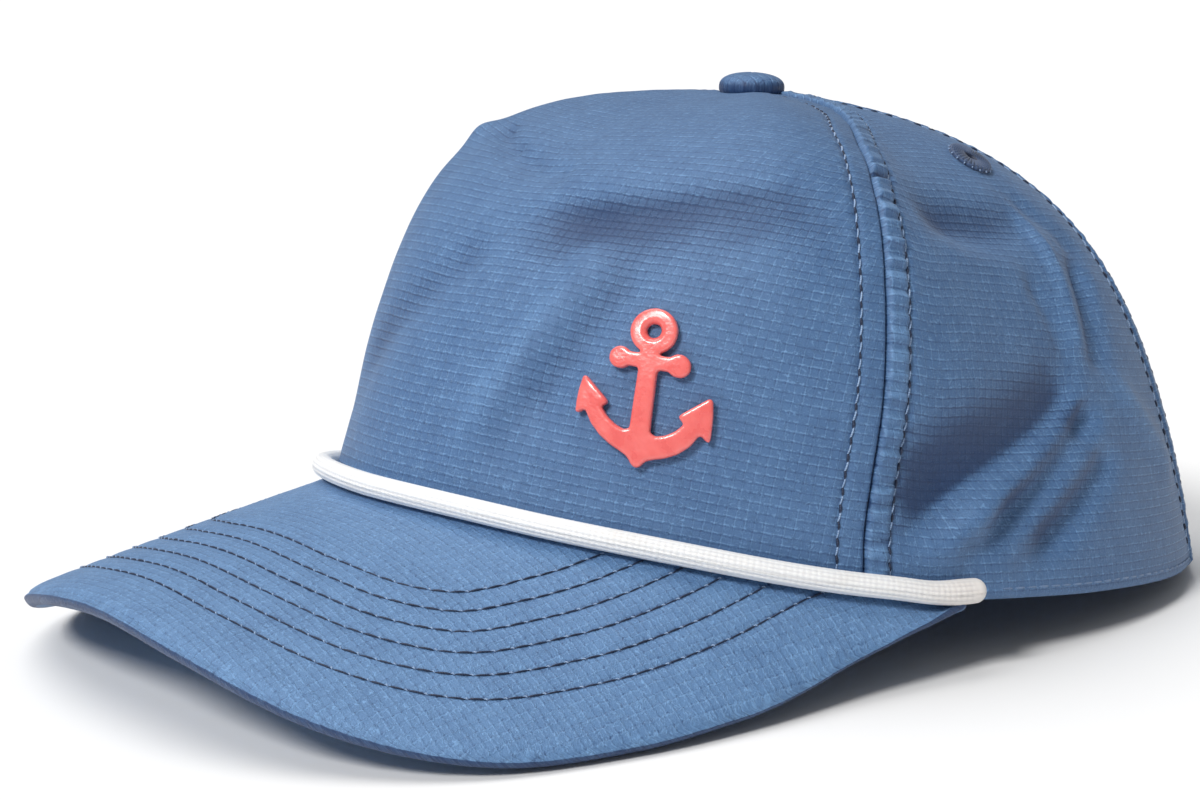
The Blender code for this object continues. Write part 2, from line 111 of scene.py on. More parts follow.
def throughRows(rows, column, at, levelEnd=True):
    # a smooth curve through one column of a table, level at its start
    places = np.array([row[0] for row in rows], float)
    values = np.array([row[column] for row in rows], float)
    slopes = np.gradient(values, places)
    slopes[0] = 0
    if levelEnd:
        slopes[-1] = 0
    at = np.clip(np.asarray(at, float), places[0], places[-1])
    k = np.clip(np.searchsorted(places, at, side="right") - 1, 0, len(places) - 2)
    step = places[k + 1] - places[k]
    t = (at - places[k]) / step
    start = values[k] * (1 + 2 * t) * (1 - t) ** 2 + slopes[k] * step * t * (1 - t) ** 2
    end = values[k + 1] * (3 - 2 * t) * t * t - slopes[k + 1] * step * t * t * (1 - t)
    return start + end


def smooth(value, low, high):
    t = np.clip((value - low) / (high - low), 0, 1)
    return t * t * (3 - 2 * t)


def bell(value, width):
    return np.exp(-(value / width) ** 2)


def ripple(run, wave, seed):
    # uneven waves along a line, between about -1 and 1
    turn = 2 * np.pi * run / wave
    return (0.5 * np.sin(turn + 1.3 * seed) + 0.3 * np.sin(1.73 * turn + 2.9 * seed)
            + 0.25 * np.sin(0.61 * turn + 4.1 * seed) + 0.15 * np.sin(2.9 * turn + seed))


def signed(angle):
    return (np.asarray(angle, float) + 180) % 360 - 180


def planPoint(angle):
    turn = np.radians(angle)
    across, along = np.sin(turn), np.cos(turn)
    power = np.where(along > 0, crown["frontSquareness"], crown["backSquareness"])
    length = np.where(along > 0, crown["frontLength"], crown["backLength"])
    size = (np.abs(across) ** power + np.abs(along) ** power) ** (-1 / power)
    return crown["halfWidth"] * across * size, -length * along * size


def archAt(x, y):
    fall = peak["archDrop"] * (x / crown["halfWidth"]) ** 2
    return np.tan(peak["slope"]) * (y + crown["frontLength"]) - fall


def outlinePoint(share):
    # the peak's free edge, from the middle (0) to the joint's end (1)
    endX, endY = planPoint(peak["jointAngle"])
    endX = endX + peak["jointEndWidth"]
    endDirection = np.degrees(np.arctan2(endX, -endY - peak["centre"]))
    front = crown["frontLength"] + peak["length"] - peak["centre"]
    rows = [(row[0], peak["halfWidth"] + (front - peak["halfWidth"]) * row[1])
            for row in peak["outline"]]
    rows.append((endDirection, np.hypot(endX, endY + peak["centre"])))
    direction = share * endDirection
    reach = throughRows(rows, 1, direction, levelEnd=False)
    turn = np.radians(direction)
    return reach * np.sin(turn), -peak["centre"] - reach * np.cos(turn)


def archPoint(share, out):
    x, y = planPoint(share * peak["jointAngle"])
    away = 1 + peak["restGap"] / np.hypot(x, y)
    freeX, freeY = outlinePoint(share)
    px = x * away + (freeX - x * away) * out
    py = y * away + (freeY - y * away) * out
    return np.stack([px, py, archAt(px, py)], -1)


def unit(vectors):
    return vectors / np.linalg.norm(vectors, axis=-1, keepdims=True)


def normalOf(place, a, b, stepA, stepB):
    across = place(a + stepA, b) - place(a - stepA, b)
    along = place(a, b + stepB) - place(a, b - stepB)
    return unit(np.cross(across, along))


def jointHeight():
    # how far the arch is lifted so that the peak's under face just reaches the ground
    share = np.linspace(0.02, 0.95, 120)
    out = np.full_like(share, 0.995)
    under = archPoint(share, out) + peak["thickness"] * normalOf(archPoint, share, out, 0.004, 0.004)
    return -under[:, 2].min()


jointTop = jointHeight()


def rimHeight(angle):
    a = np.abs(signed(angle))
    last = peak["jointAngle"]
    x, y = planPoint(a)
    front = jointTop + archAt(x, y) + peak["archDrop"] * throughRows(peak["joint"], 1, a)
    endX, endY = planPoint(last)
    end = jointTop + archAt(endX, endY) + peak["archDrop"] * throughRows(peak["joint"], 1, last)
    rows = [(last - 4, float(end) / crown["sideLift"])] + list(crown["rim"])
    side = crown["sideLift"] * throughRows(rows, 1, a)
    blend = smooth(a, last - 8, last + 6)
    return front * (1 - blend) + side * blend


def peakPoint(share, out):
    # upper face of the peak, on either side of the middle
    side = np.abs(share)
    point = archPoint(side, out)
    start = archPoint(side, 0 * out)
    width = np.linalg.norm(archPoint(side, 0 * out + 1) - start, axis=-1)
    rim = rimHeight(side * peak["jointAngle"])
    bend = 1 - out * np.clip(width / (0.5 * peak["length"]), 0, 1)
    height = point[..., 2] + jointTop + (rim - jointTop - start[..., 2]) * bend
    height = height + throughRows(peak["edge"], 1, side) * mm * np.clip(out, 0, 1.1) ** 2
    return np.stack([point[..., 0] * np.sign(share), point[..., 1], height], -1)


def plainCrown(angle, up):
    # a point of the crown before its folds, up from the rim (0) to the button (1)
    a = np.abs(signed(angle))
    lean, steep, flat, droop = (throughRows(crown["meridians"], k, a) for k in (1, 2, 3, 4))
    x, y = planPoint(angle)
    back = crown["buttonBack"]
    rim = rimHeight(angle)
    radius = np.hypot(x, y - back)
    rise = crown["height"] - rim
    fall = np.tan(crown["tilt"]) * (y - back) / radius
    outs = (radius, radius - lean * crown["halfWidth"], flat * radius, 0 * radius)
    top = crown["height"] - fall * flat * radius - droop * crown["height"]
    heights = (rim, rim + steep * rise, top, crown["height"] + 0 * radius)
    weights = ((1 - up) ** 3, 3 * up * (1 - up) ** 2, 3 * up * up * (1 - up), up ** 3)
    out = sum(w * r for w, r in zip(weights, outs))
    z = sum(w * h for w, h in zip(weights, heights))
    return np.stack([x / radius * out, back + (y - back) / radius * out, z], -1)


def foldDepth(angle, up):
    wide = math.radians(1) * crown["halfWidth"]
    tall = crown["height"] + 0.3 * crown["halfWidth"]
    angle = signed(angle)
    depth = np.zeros(np.broadcast(angle, up).shape)
    for fromAngle, fromUp, toAngle, toUp, above, below, deep in folds:
        lineX = (toAngle - fromAngle) * wide
        lineY = (toUp - fromUp) * tall
        x = (angle - fromAngle) * wide
        y = (up - fromUp) * tall
        along = np.clip((x * lineX + y * lineY) / (lineX ** 2 + lineY ** 2), 0, 1)
        side = (lineX * y - lineY * x) * np.sign(lineX)
        away = np.hypot(x - along * lineX, y - along * lineY)
        # the two sides' spreads blend round the ends
        turned = smooth(side / (np.hypot(lineX, lineY) * np.maximum(away, 1e-6)), -1, 1)
        away = away / ((below + (above - below) * turned) * mm)
        # each fold grows out of the cloth over its first third and fades towards its end
        grown = (0.2 + 0.8 * smooth(along, 0, 0.35)) * (1 - 0.45 * along)
        depth = depth + deep * mm * np.exp(-away ** 2) * grown
    return depth * np.clip(up / 0.05, 0, 1) * np.clip((1 - up) / 0.12, 0, 1)


def pointsAt(where, run, values):
    # vectors at some ways along a line
    return np.stack([np.interp(where, run, values[:, k]) for k in range(3)], -1)


def lengthAlong(points, axis=0):
    # how far each point lies along its line, or along its column or row of a grid
    steps = np.linalg.norm(np.diff(points, axis=axis), axis=-1)
    start = 0 * np.take(steps, [0], axis)
    return np.concatenate([start, np.cumsum(steps, axis=axis)], axis=axis)


# One entry for each seam: how its rows and its raised strip lie, the strip to its rear.
seamLooks = {
    "front": {"ahead": 5.6 * mm, "behind": 5.0 * mm, "strip": 0.85 * mm, "pucker": 0.62 * mm, "pull": 1.0},
    "rear": {"ahead": 2.2 * mm, "behind": 4.6 * mm, "strip": 0.42 * mm, "pucker": 0.16 * mm, "pull": 0.45},
    "middle": {"ahead": 4.4 * mm, "behind": 4.4 * mm, "strip": 0.15 * mm, "pucker": 0.10 * mm, "pull": 0.45},
}
seamStitch = 3.2 * mm
seamReach = 22 * mm  # beyond this a seam no longer shapes the cloth
upSteps = np.linspace(0, 1, 501)


def traceSeam(kind, side):
    # side is 1 for the wearer's left and -1 for the right
    if kind == "middle":
        angles = 180 + 0 * upSteps
    else:
        column = 1 if kind == "front" else 2
        angles = side * throughRows(crown["seams"], column, upSteps, levelEnd=False)
    points = plainCrown(angles, upSteps)
    run = lengthAlong(points)
    wide = np.linalg.norm(plainCrown(angles + 0.5, upSteps) - plainCrown(angles - 0.5, upSteps), axis=-1)
    turn = np.gradient(angles) * wide / np.maximum(np.gradient(run), 1e-6)
    straight = np.sqrt(1 - np.clip(turn, -0.95, 0.95) ** 2)
    return {"kind": kind, "side": side, "angles": angles, "run": run,
            "perDegree": wide * straight, **seamLooks[kind]}


def alongSeam(seam, what, up):
    return np.interp(up, upSteps, seam[what])


seams = [traceSeam("front", 1), traceSeam("front", -1), traceSeam("rear", 1),
         traceSeam("rear", -1), traceSeam("middle", 1)]
crossDents = ((83, 1.2, 0.75), (61, 1.6, 0.35), (34, 1.8, 0.35), (104, 1.4, 0.4))  # along, wide, deep in mm


def seamRelief(angle, up):
    # what the seams raise and draw in, over the folded cloth
    angle, up = np.broadcast_arrays(np.asarray(angle, float), np.asarray(up, float))
    relief = np.zeros(angle.shape)
    for seam in seams:
        off = signed(angle - alongSeam(seam, "angles", up)) * seam["side"]
        away = off * alongSeam(seam, "perDegree", up)
        near = np.abs(away) < seamReach
        if not near.any():
            continue
        d = away[near]
        run = alongSeam(seam, "run", up[near])
        seed = seam["side"] + 2 * len(seam["kind"])
        behind, ahead = seam["behind"], seam["ahead"]
        beat = 0.5 + 0.5 * np.cos(2 * np.pi * run / seamStitch)
        strip = smooth(d, -0.1 * mm, 0.55 * mm) * (1 - smooth(d, behind - 0.9 * mm, behind + 0.5 * mm))
        lumps = ripple(run - 0.2 * d, 3.7 * mm, seed) * (0.75 + 0.25 * np.sin(run / (9 * mm)))
        lumps = np.sign(lumps) * np.abs(lumps) ** 0.75
        calmer = 1 - 0.75 * smooth(up[near], 0.72, 0.88)
        part = seam["strip"] * strip + seam["pucker"] * strip * lumps * calmer
        if seam["kind"] == "front":
            for place, wide, deep in crossDents:
                part = part - deep * mm * strip * bell(run - place * mm - 0.25 * d, wide * mm)
        part = part - 0.80 * mm * bell(d, 0.34 * mm)
        rowDip = bell(d - behind, 0.75 * mm) + bell(d + ahead, 0.75 * mm)
        part = part - 0.46 * mm * seam["pull"] * rowDip * (0.45 + 0.55 * beat)
        # the cloth swells between the stitches and draws in beside them
        swell = bell(d - behind - 1.7 * mm, 1.4 * mm) + bell(d + ahead + 1.6 * mm, 1.4 * mm)
        part = part + 0.14 * mm * seam["pull"] * swell * (1.2 - beat)
        flat = smooth(d, -ahead - 0.2 * mm, -ahead + 1.2 * mm) * (1 - smooth(d, -0.9 * mm, 0.1 * mm))
        part = part + 0.14 * mm * flat * (1 + 0.5 * ripple(run, 7 * mm, seed + 1))
        past = np.where(d > 0, d - behind, -d - ahead)
        drawn = smooth(past, 0, 1.5 * mm) * np.exp(-np.clip(past, 0, 1) / (3.6 * mm))
        part = part + 0.20 * mm * drawn * ripple(run - 0.4 * past, 6.4 * mm, seed + 3)
        relief[near] += part * (1 - smooth(np.abs(d), seamReach - 4 * mm, seamReach))
    return relief * (1 - smooth(up, 0.955, 0.985))


def crownPoint(angle, up, out=0.0):
    # on the folded cloth, out from its face
    angle, up = np.broadcast_arrays(np.asarray(angle, float), np.asarray(up, float))
    normal = normalOf(plainCrown, angle, up, 0.4, 0.003)
    return plainCrown(angle, up) + normal * (out - foldDepth(angle, up))[..., None]


def clothPoint(angle, up, out=0.0):
    # on the cloth as it shows, with its seams
    return crownPoint(angle, up, out + seamRelief(angle, up))


def clothFrame(angle, up, out=0.0, step=0.005):
    # points on that cloth, and the directions out of it
    return clothPoint(angle, up, out), normalOf(crownPoint, angle, up, 0.5, step)


def shareUp(angle, length):
    # how far up the crown a length above the rim is
    a = np.abs(signed(angle))
    steep = throughRows(crown["meridians"], 2, a)
    return length / (3 * steep * (crown["height"] - rimHeight(a)))


toWorld = np.array([0, (crown["frontLength"] + peak["length"] - crown["backLength"]) / 2, 0])


def facingOut(points, faces):
    # the same faces, turned over where they enclose the piece inside out
    inside = 0.0
    for count in sorted({len(face) for face in faces}):
        corners = points[np.array([face for face in faces if len(face) == count])]
        for k in range(1, count - 1):
            inside += (corners[:, 0] * np.cross(corners[:, k], corners[:, k + 1])).sum()
    return faces if inside > 0 else [tuple(face)[::-1] for face in faces]


def addObject(name, data):
    thing = bpy.data.objects.new(name, data)
    bpy.context.scene.collection.objects.link(thing)
    return thing


def shapedMesh(thing):
    # its mesh with the modifiers, or the curve's depth, worked out
    bpy.context.view_layer.update()
    return bpy.data.meshes.new_from_object(thing.evaluated_get(bpy.context.evaluated_depsgraph_get()))


def carry(mesh, values):
    # what the finishes read at each point: its place on the surface, then painted light and shade (with some
    # wear on the panels), a strand's own tone, or height
    data = mesh.attributes.new("cloth", "FLOAT_VECTOR", "POINT").data
    data.foreach_set("vector", np.ascontiguousarray(values, np.float32).ravel())


def makeMesh(name, points, faces, material, cloth, node=None):
    # an object from arrays of points and faces, riding on the hat
    points = points.reshape(-1, 3)
    faces = facingOut(points, faces)
    mesh = bpy.data.meshes.new(name)
    mesh.from_pydata((points + toWorld).tolist(), [], faces)
    mesh.validate()
    carry(mesh, cloth)
    mesh.shade_smooth()
    mesh.materials.append(material)
    thing = addObject(name, mesh)
    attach(thing, "root")
    if node:
        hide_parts(node)


def gridFaces(rows, columns, start=0, flip=False, closed=False):
    # quads over a grid of rows x columns points, closed round its columns if asked
    row = np.arange(rows - 1)[:, None]
    wide = columns if closed else columns - 1
    column = np.arange(wide)[None, :]
    after = (column + 1) % columns
    quads = np.stack([row * columns + column, row * columns + after,
                      (row + 1) * columns + after, (row + 1) * columns + column], -1) + start
    quads = quads.reshape(-1, 4)
    return (quads[:, ::-1] if flip else quads).tolist()


def tubeFaces(rows, sides):
    # the wall and both end caps of a tube, ring after ring
    caps = [tuple(range(sides - 1, -1, -1)), tuple(range((rows - 1) * sides, rows * sides))]
    return gridFaces(rows, sides, closed=True) + caps


def ringFaces(rows, sides):
    # quads over a grid that is closed both ways
    last = (rows - 1) * sides
    joint = [(last + k, last + (k + 1) % sides, (k + 1) % sides, k) for k in range(sides)]
    return gridFaces(rows, sides, closed=True) + joint


def circle(turn, across, upward):
    # directions round an axis, turned from across towards upward
    return np.cos(turn)[:, None] * across + np.sin(turn)[:, None] * upward


def borderLoop(rows, columns, start=0):
    # the border of such a grid, in order
    index = np.arange(rows * columns).reshape(rows, columns) + start
    return np.concatenate([index[0, :-1], index[:-1, -1], index[-1, :0:-1], index[:0:-1, 0]])


def closedSheet(outer, inner):
    # faces of a fine outer grid and an inner one of half its density, joined round the border
    rows, columns = outer.shape[:2]
    low, wide = inner.shape[:2]
    start = rows * columns
    faces = gridFaces(rows, columns, flip=True) + gridFaces(low, wide, start)
    fine = borderLoop(rows, columns)
    coarse = borderLoop(low, wide, start)
    for k in range(len(coarse)):
        a, b, c = fine[2 * k], fine[2 * k + 1], fine[(2 * k + 2) % len(fine)]
        p, q = coarse[k], coarse[(k + 1) % len(coarse)]
        faces += [(a, b, p), (b, q, p), (b, c, q)]
    return [tuple(int(v) for v in face) for face in faces]


def makeSheet(name, outer, inner, cloth, clothIn, node):
    # a closed piece of the blue cloth from its two faces
    points = np.concatenate([outer.reshape(-1, 3), inner.reshape(-1, 3)])
    carried = np.concatenate([cloth.reshape(-1, 3), clothIn.reshape(-1, 3)])
    makeMesh(name, points, closedSheet(outer, inner), clothBlue, carried, node)


def treeOf(points):
    # finds the nearest of many points
    tree = KDTree(len(points))
    for k, point in enumerate(points):
        tree.insert(point, k)
    tree.balance()
    return tree


print("Hat: form and seams ready")


class Wire:
    # a node's output that takes part in plain arithmetic
    def __init__(self, paint, socket):
        self.paint, self.socket = paint, socket

    def maths(self, operation, first, second=0.5):
        return self.paint.node("ShaderNodeMath", {"operation": operation}, first, second)

    def __add__(self, other): return self.maths("ADD", self, other)
    def __radd__(self, other): return self.maths("ADD", other, self)
    def __sub__(self, other): return self.maths("SUBTRACT", self, other)
    def __rsub__(self, other): return self.maths("SUBTRACT", other, self)
    def __mul__(self, other): return self.maths("MULTIPLY", self, other)
    def __rmul__(self, other): return self.maths("MULTIPLY", other, self)
    def __truediv__(self, other): return self.maths("DIVIDE", self, other)
    def __rtruediv__(self, other): return self.maths("DIVIDE", other, self)
    def sine(self): return self.maths("SINE", self)
    def size(self): return self.maths("ABSOLUTE", self)
    def fraction(self): return self.maths("FRACT", self)

    def between(self, low, high, start=0.0, end=1.0):
        # eased from start to end as the value goes from low to high
        settings = {"interpolation_type": "SMOOTHSTEP"}
        return self.paint.node("ShaderNodeMapRange", settings, self, low, high, start, end)


class Paint:
    # one material, its shader's plain sockets set by name
    def __init__(self, name, **plain):
        self.material = bpy.data.materials.new(name)
        self.material.use_nodes = True
        self.tree = self.material.node_tree
        self.shader = self.tree.nodes["Principled BSDF"]
        for socket, value in plain.items():
            self.shader.inputs[socket.replace("_", " ")].default_value = value

    def node(self, kind, settings, *values, places=None, out=0, **named):
        # settings are set first, then the sockets by their order, by places or by name
        made = self.tree.nodes.new(kind)
        for key, value in settings.items():
            setattr(made, key, value)
        pairs = list(zip(places or range(len(values)), values))
        pairs += [(key.replace("_", " "), value) for key, value in named.items()]
        for key, value in pairs:
            if isinstance(value, Wire):
                self.tree.links.new(value.socket, made.inputs[key])
            else:
                made.inputs[key].default_value = value
        return Wire(self, made.outputs[out])

    def attribute(self, name):
        # the three parts of a vector that the mesh carries, and the vector itself
        whole = self.node("ShaderNodeAttribute", {"attribute_name": name}, out=1)
        parts = self.node("ShaderNodeSeparateXYZ", {}, whole)
        x, y, z = (Wire(self, parts.socket.node.outputs[k]) for k in range(3))
        return whole, x, y, z

    def noise(self, place, scale, detail=2.0, roughness=0.5, distortion=0.0):
        return self.node("ShaderNodeTexNoise", {}, Vector=place, Scale=scale, Detail=detail,
                         Roughness=roughness, Distortion=distortion)

    def vector(self, x, y, z=0.0):
        return self.node("ShaderNodeCombineXYZ", {}, x, y, z)

    def mix(self, share, first, second, blend="MIX"):
        # of colours, whose sockets come after those for numbers and vectors
        settings = {"data_type": "RGBA", "blend_type": blend}
        return self.node("ShaderNodeMix", settings, share, first, second, places=(0, 6, 7), out=2)

    def bump(self, height, distance, strength=1.0):
        return self.node("ShaderNodeBump", {}, Strength=strength, Distance=distance, Height=height)

    def feed(self, socket, wire):
        self.tree.links.new(wire.socket, self.shader.inputs[socket])


clothLook = {
    "blue": (0.060, 0.140, 0.300, 1), "light": (0.176, 0.345, 0.610, 1), "deep": (0.012, 0.042, 0.128, 1),
    "rib": 1.75, "crossRib": 1.85,  # from rib to rib, in mm
    "ribWidth": 0.15,  # half of a rib, as a share of that step
    "relief": 0.13 * mm,
}


def clothPaint(name, ribs, squares, lift, crackle=1.0):
    # ripstop: fine plain cloth with a heavier rib at every step along and across
    look = clothLook
    paint = Paint(name, Sheen_Weight=0.10, Sheen_Roughness=0.4, Specular_IOR_Level=0.5)
    place, u, v, wearAndShading = paint.attribute("cloth")
    drift = paint.noise(place, 0.11, 3.0, 0.6)
    wander = (paint.noise(place, 0.9, 2.0) - 0.5) * (0.42 * crackle)
    wriggle = (paint.noise(place, 2.6, 2.0) - 0.5) * (0.34 * crackle)

    def rib(line, step, width):
        # 1 on each rib, falling off to both sides
        return ((line / step).fraction() - 0.5).size().between(0.5 - width, 0.5, 0.0, 1.0)

    # each rib, and its shaded side a little way off
    rows, columns = v + wander + wriggle, u + wander * 1.2 + wriggle
    along = rib(rows, look["rib"], look["ribWidth"])
    under = rib(rows + 0.34, look["rib"], look["ribWidth"])
    across = rib(columns, look["crossRib"], look["ribWidth"] * 0.8)
    beside = rib(columns + 0.30, look["crossRib"], look["ribWidth"] * 0.8)
    # thin curled yarns, the level lines of a slow noise, broken up by a second one
    field = paint.noise(paint.vector(u * 0.75, v, 3.1), 0.9, 1.0, 0.5, 0.9) * 5.0
    curl = (field.fraction() - 0.5).size().between(0.03, 0.15, 1.0, 0.0)
    broken = paint.noise(paint.vector(u * 0.9, v * 0.9, 7.7), 1.1, 2.0)
    curls = curl * broken.between(0.42, 0.56)
    dashes = paint.noise(paint.vector(u * 0.8, v * 0.25, 1.7), 1.5, 2.0).between(0.42, 0.58)
    grain = paint.noise(place, 4.5, 3.0, 0.65, 0.6)
    yarnX = (u * 17.0 + wriggle * 9).sine()
    yarnY = (v * 17.0 + wriggle * 9).sine()
    weave = yarnX * yarnY * 0.5 + 0.5
    # the carried wear and painted light and shade make the cloth lighter above 0 and darker below it
    lightness = (along * dashes * 0.50 * ribs + across * squares * dashes * 0.44 + curls * (0.36 * crackle)
                 + (grain - 0.5) * 0.70 + (drift - 0.5) * 0.30
                 + wearAndShading.between(0.02, 0.6) * 0.42 + (lift + 0.10))
    shade = (under * 0.48 * ribs + beside * squares * 0.44 + (0.5 - drift) * 0.30 + (0.5 - grain) * 0.6
             + (0.5 - broken) * 0.3 + (wearAndShading * -1.0).between(0.02, 0.6) * 0.8)
    color = paint.mix(lightness.between(-0.05, 1.0), look["blue"], look["light"])
    color = paint.mix(shade.between(0.0, 1.0), color, look["deep"])
    paint.feed("Base Color", color)
    paint.feed("Roughness", 0.46 + grain * 0.2 - along * 0.06)
    height = (along * 0.60 * ribs + across * squares * 0.6 + weave * 0.16 + grain * 0.55
              + curls * 0.45 + paint.noise(place, 0.75, 3.0, 0.6))
    paint.feed("Normal", paint.bump(height, look["relief"]))
    return paint.material


clothBlue = clothPaint("cloth_blue", ribs=0.84, squares=0.56, lift=0.05)
# a lighter copy of the cloth for the peak: partly its lighter-celled weave, partly painted light for its top
# that faces the light
clothPeak = clothPaint("cloth_peak", ribs=0.62, squares=0.66, lift=0.31, crackle=1.9)


def threadPaint(name, color, light, sheen):
    # twisted thread: a fine slant along each strand
    paint = Paint(name, Roughness=0.5, Sheen_Weight=sheen, Specular_IOR_Level=0.45)
    _, along, around, own = paint.attribute("cloth")
    twist = (along * 14.0 + around * 6.3).sine() * 0.5 + 0.5
    paint.feed("Base Color", paint.mix(twist * 0.7 + own * 0.3, color, light))
    paint.feed("Normal", paint.bump(twist, 0.05 * mm, 0.6))
    return paint.material


# near-black thread, also used as painted shade: in the peak's stitch grooves, under the seam stitches and
# inside the eyelets' holes
darkThreadAndShade = threadPaint("dark_thread_and_shade", (0.006, 0.012, 0.034, 1), (0.020, 0.036, 0.085, 1), 0.04)
threadSoft = threadPaint("thread_soft", (0.10, 0.18, 0.34, 1), (0.18, 0.29, 0.49, 1), 0.3)
threadBlue = threadPaint("thread_blue", (0.16, 0.27, 0.46, 1), (0.36, 0.50, 0.72, 1), 0.5)


def strandMesh(name, strands, radius, material, rings=6, sides=6):
    # bent rods whose ends dip into the cloth, each a row of start, end and outward direction,
    # with its lift and its share of the radius in a fourth place
    start, end, out = strands[:, 0], strands[:, 1], strands[:, 2]
    lift, thick = strands[:, 3, 0], strands[:, 3, 1]
    count = len(strands)
    t = np.linspace(0, 1, rings)
    arc = 1 - (2 * t - 1) ** 2
    line = (start[:, None] + (end - start)[:, None] * t[None, :, None]
            + out[:, None] * (lift[:, None] * (arc - 0.35)[None, :])[..., None])
    ahead = unit(end - start)
    aside = unit(np.cross(ahead, out))
    top = np.cross(aside, ahead)
    size = radius * thick[:, None] * np.sqrt(np.clip(1 - (2 * t - 1) ** 6, 0.12, 1))[None, :]
    turn = np.linspace(0, 2 * np.pi, sides, endpoint=False)
    ring = circle(turn, aside[:, None, None], top[:, None, None])
    points = line[:, :, None] + ring * size[:, :, None, None]
    each = rings * sides
    faces = []
    one = tubeFaces(rings, sides)
    for k in range(count):
        faces += [tuple(v + k * each for v in face) for face in one]
    run = t[:, None] * np.linalg.norm(end - start, axis=-1)[:, None, None] / mm
    own = ((np.arange(count) * 0.618) % 1)[:, None, None]
    carried = np.stack(np.broadcast_arrays(run, turn / (2 * np.pi), own), -1)
    makeMesh(name, points, faces, material, carried)


def stitchesAlong(place, outward, pitch, share, lift, slant=0.0, phase=0.0):
    # strands along a run of points, each covering its share of the pitch
    run = lengthAlong(place)
    count = int((run[-1] - 0.5 * pitch) / pitch)
    starts = (np.arange(count) + 0.5 * (1 - share) + phase) * pitch
    ends = starts + share * pitch
    a, b = pointsAt(starts, run, place), pointsAt(ends, run, place)
    n = unit(pointsAt((starts + ends) / 2, run, outward))
    aside = unit(np.cross(b - a, n))
    a, b = a - aside * slant, b + aside * slant
    sizes = np.zeros_like(a)
    sizes[:, 0] = lift
    sizes[:, 1] = 1 + 0.12 * np.sin(np.arange(count) * 2.4)
    return np.stack([a, b, n, sizes], 1)


print("Hat: finishes ready")


# Panels: fine steps beside the seams, wider ones between, all in metres.
panelSteps = {
    "seam": 0.55 * mm, "plain": 1.25 * mm, "seamZone": 9 * mm, "up": 0.66 * mm,
    "panelRun": 128 * mm,  # about the way up a panel, from rim to button
}
opening = {
    "halfWidth": 36.0 * mm, "height": 44.0 * mm, "meanRadius": 39.0 * mm,
    "turned": 7.0 * mm, "rows": (1.6 * mm, 6.0 * mm),
}


def spread(width):
    # shares across a panel of this width, an even number of steps, dense at both seams
    zone = min(panelSteps["seamZone"], 0.3 * width)
    dense = round(zone / panelSteps["seam"])
    middle = round((width - 2 * zone) / panelSteps["plain"])
    middle += middle % 2
    shares = np.concatenate([np.linspace(0, zone, dense + 1)[:-1],
                             np.linspace(zone, width - zone, middle + 1),
                             np.linspace(width - zone, width, dense + 1)[1:]])
    return shares / width


def archStart(angle):
    # how far up the opening's arch cuts the crown at this plan angle
    angle = float(angle)
    if abs(signed(angle)) < 90:
        return 0.0
    up = np.linspace(0, 0.5, 400)
    points = plainCrown(np.full_like(up, angle), up)
    inside = (points[:, 0] / opening["halfWidth"]) ** 2 + (points[:, 2] / opening["height"]) ** 2 < 1
    return float(up[inside].max()) if inside.any() else 0.0


def turnedEdge(base):
    # relief of the opening's edge, which is turned in and stitched down
    away = np.hypot(base[..., 0] / opening["halfWidth"], base[..., 2] / opening["height"]) - 1
    away = away * opening["meanRadius"]
    turned = 1 - smooth(away, opening["turned"] - 0.5 * mm, opening["turned"] + 0.4 * mm)
    grooves = sum(bell(away - row, 0.5 * mm) for row in opening["rows"])
    waves = 0.07 * mm * turned * ripple(base[..., 0] + base[..., 2], 4 * mm, 6)
    return (0.34 * mm * turned - 0.30 * mm * grooves + waves) * smooth(away, 0.1 * mm, 0.8 * mm)


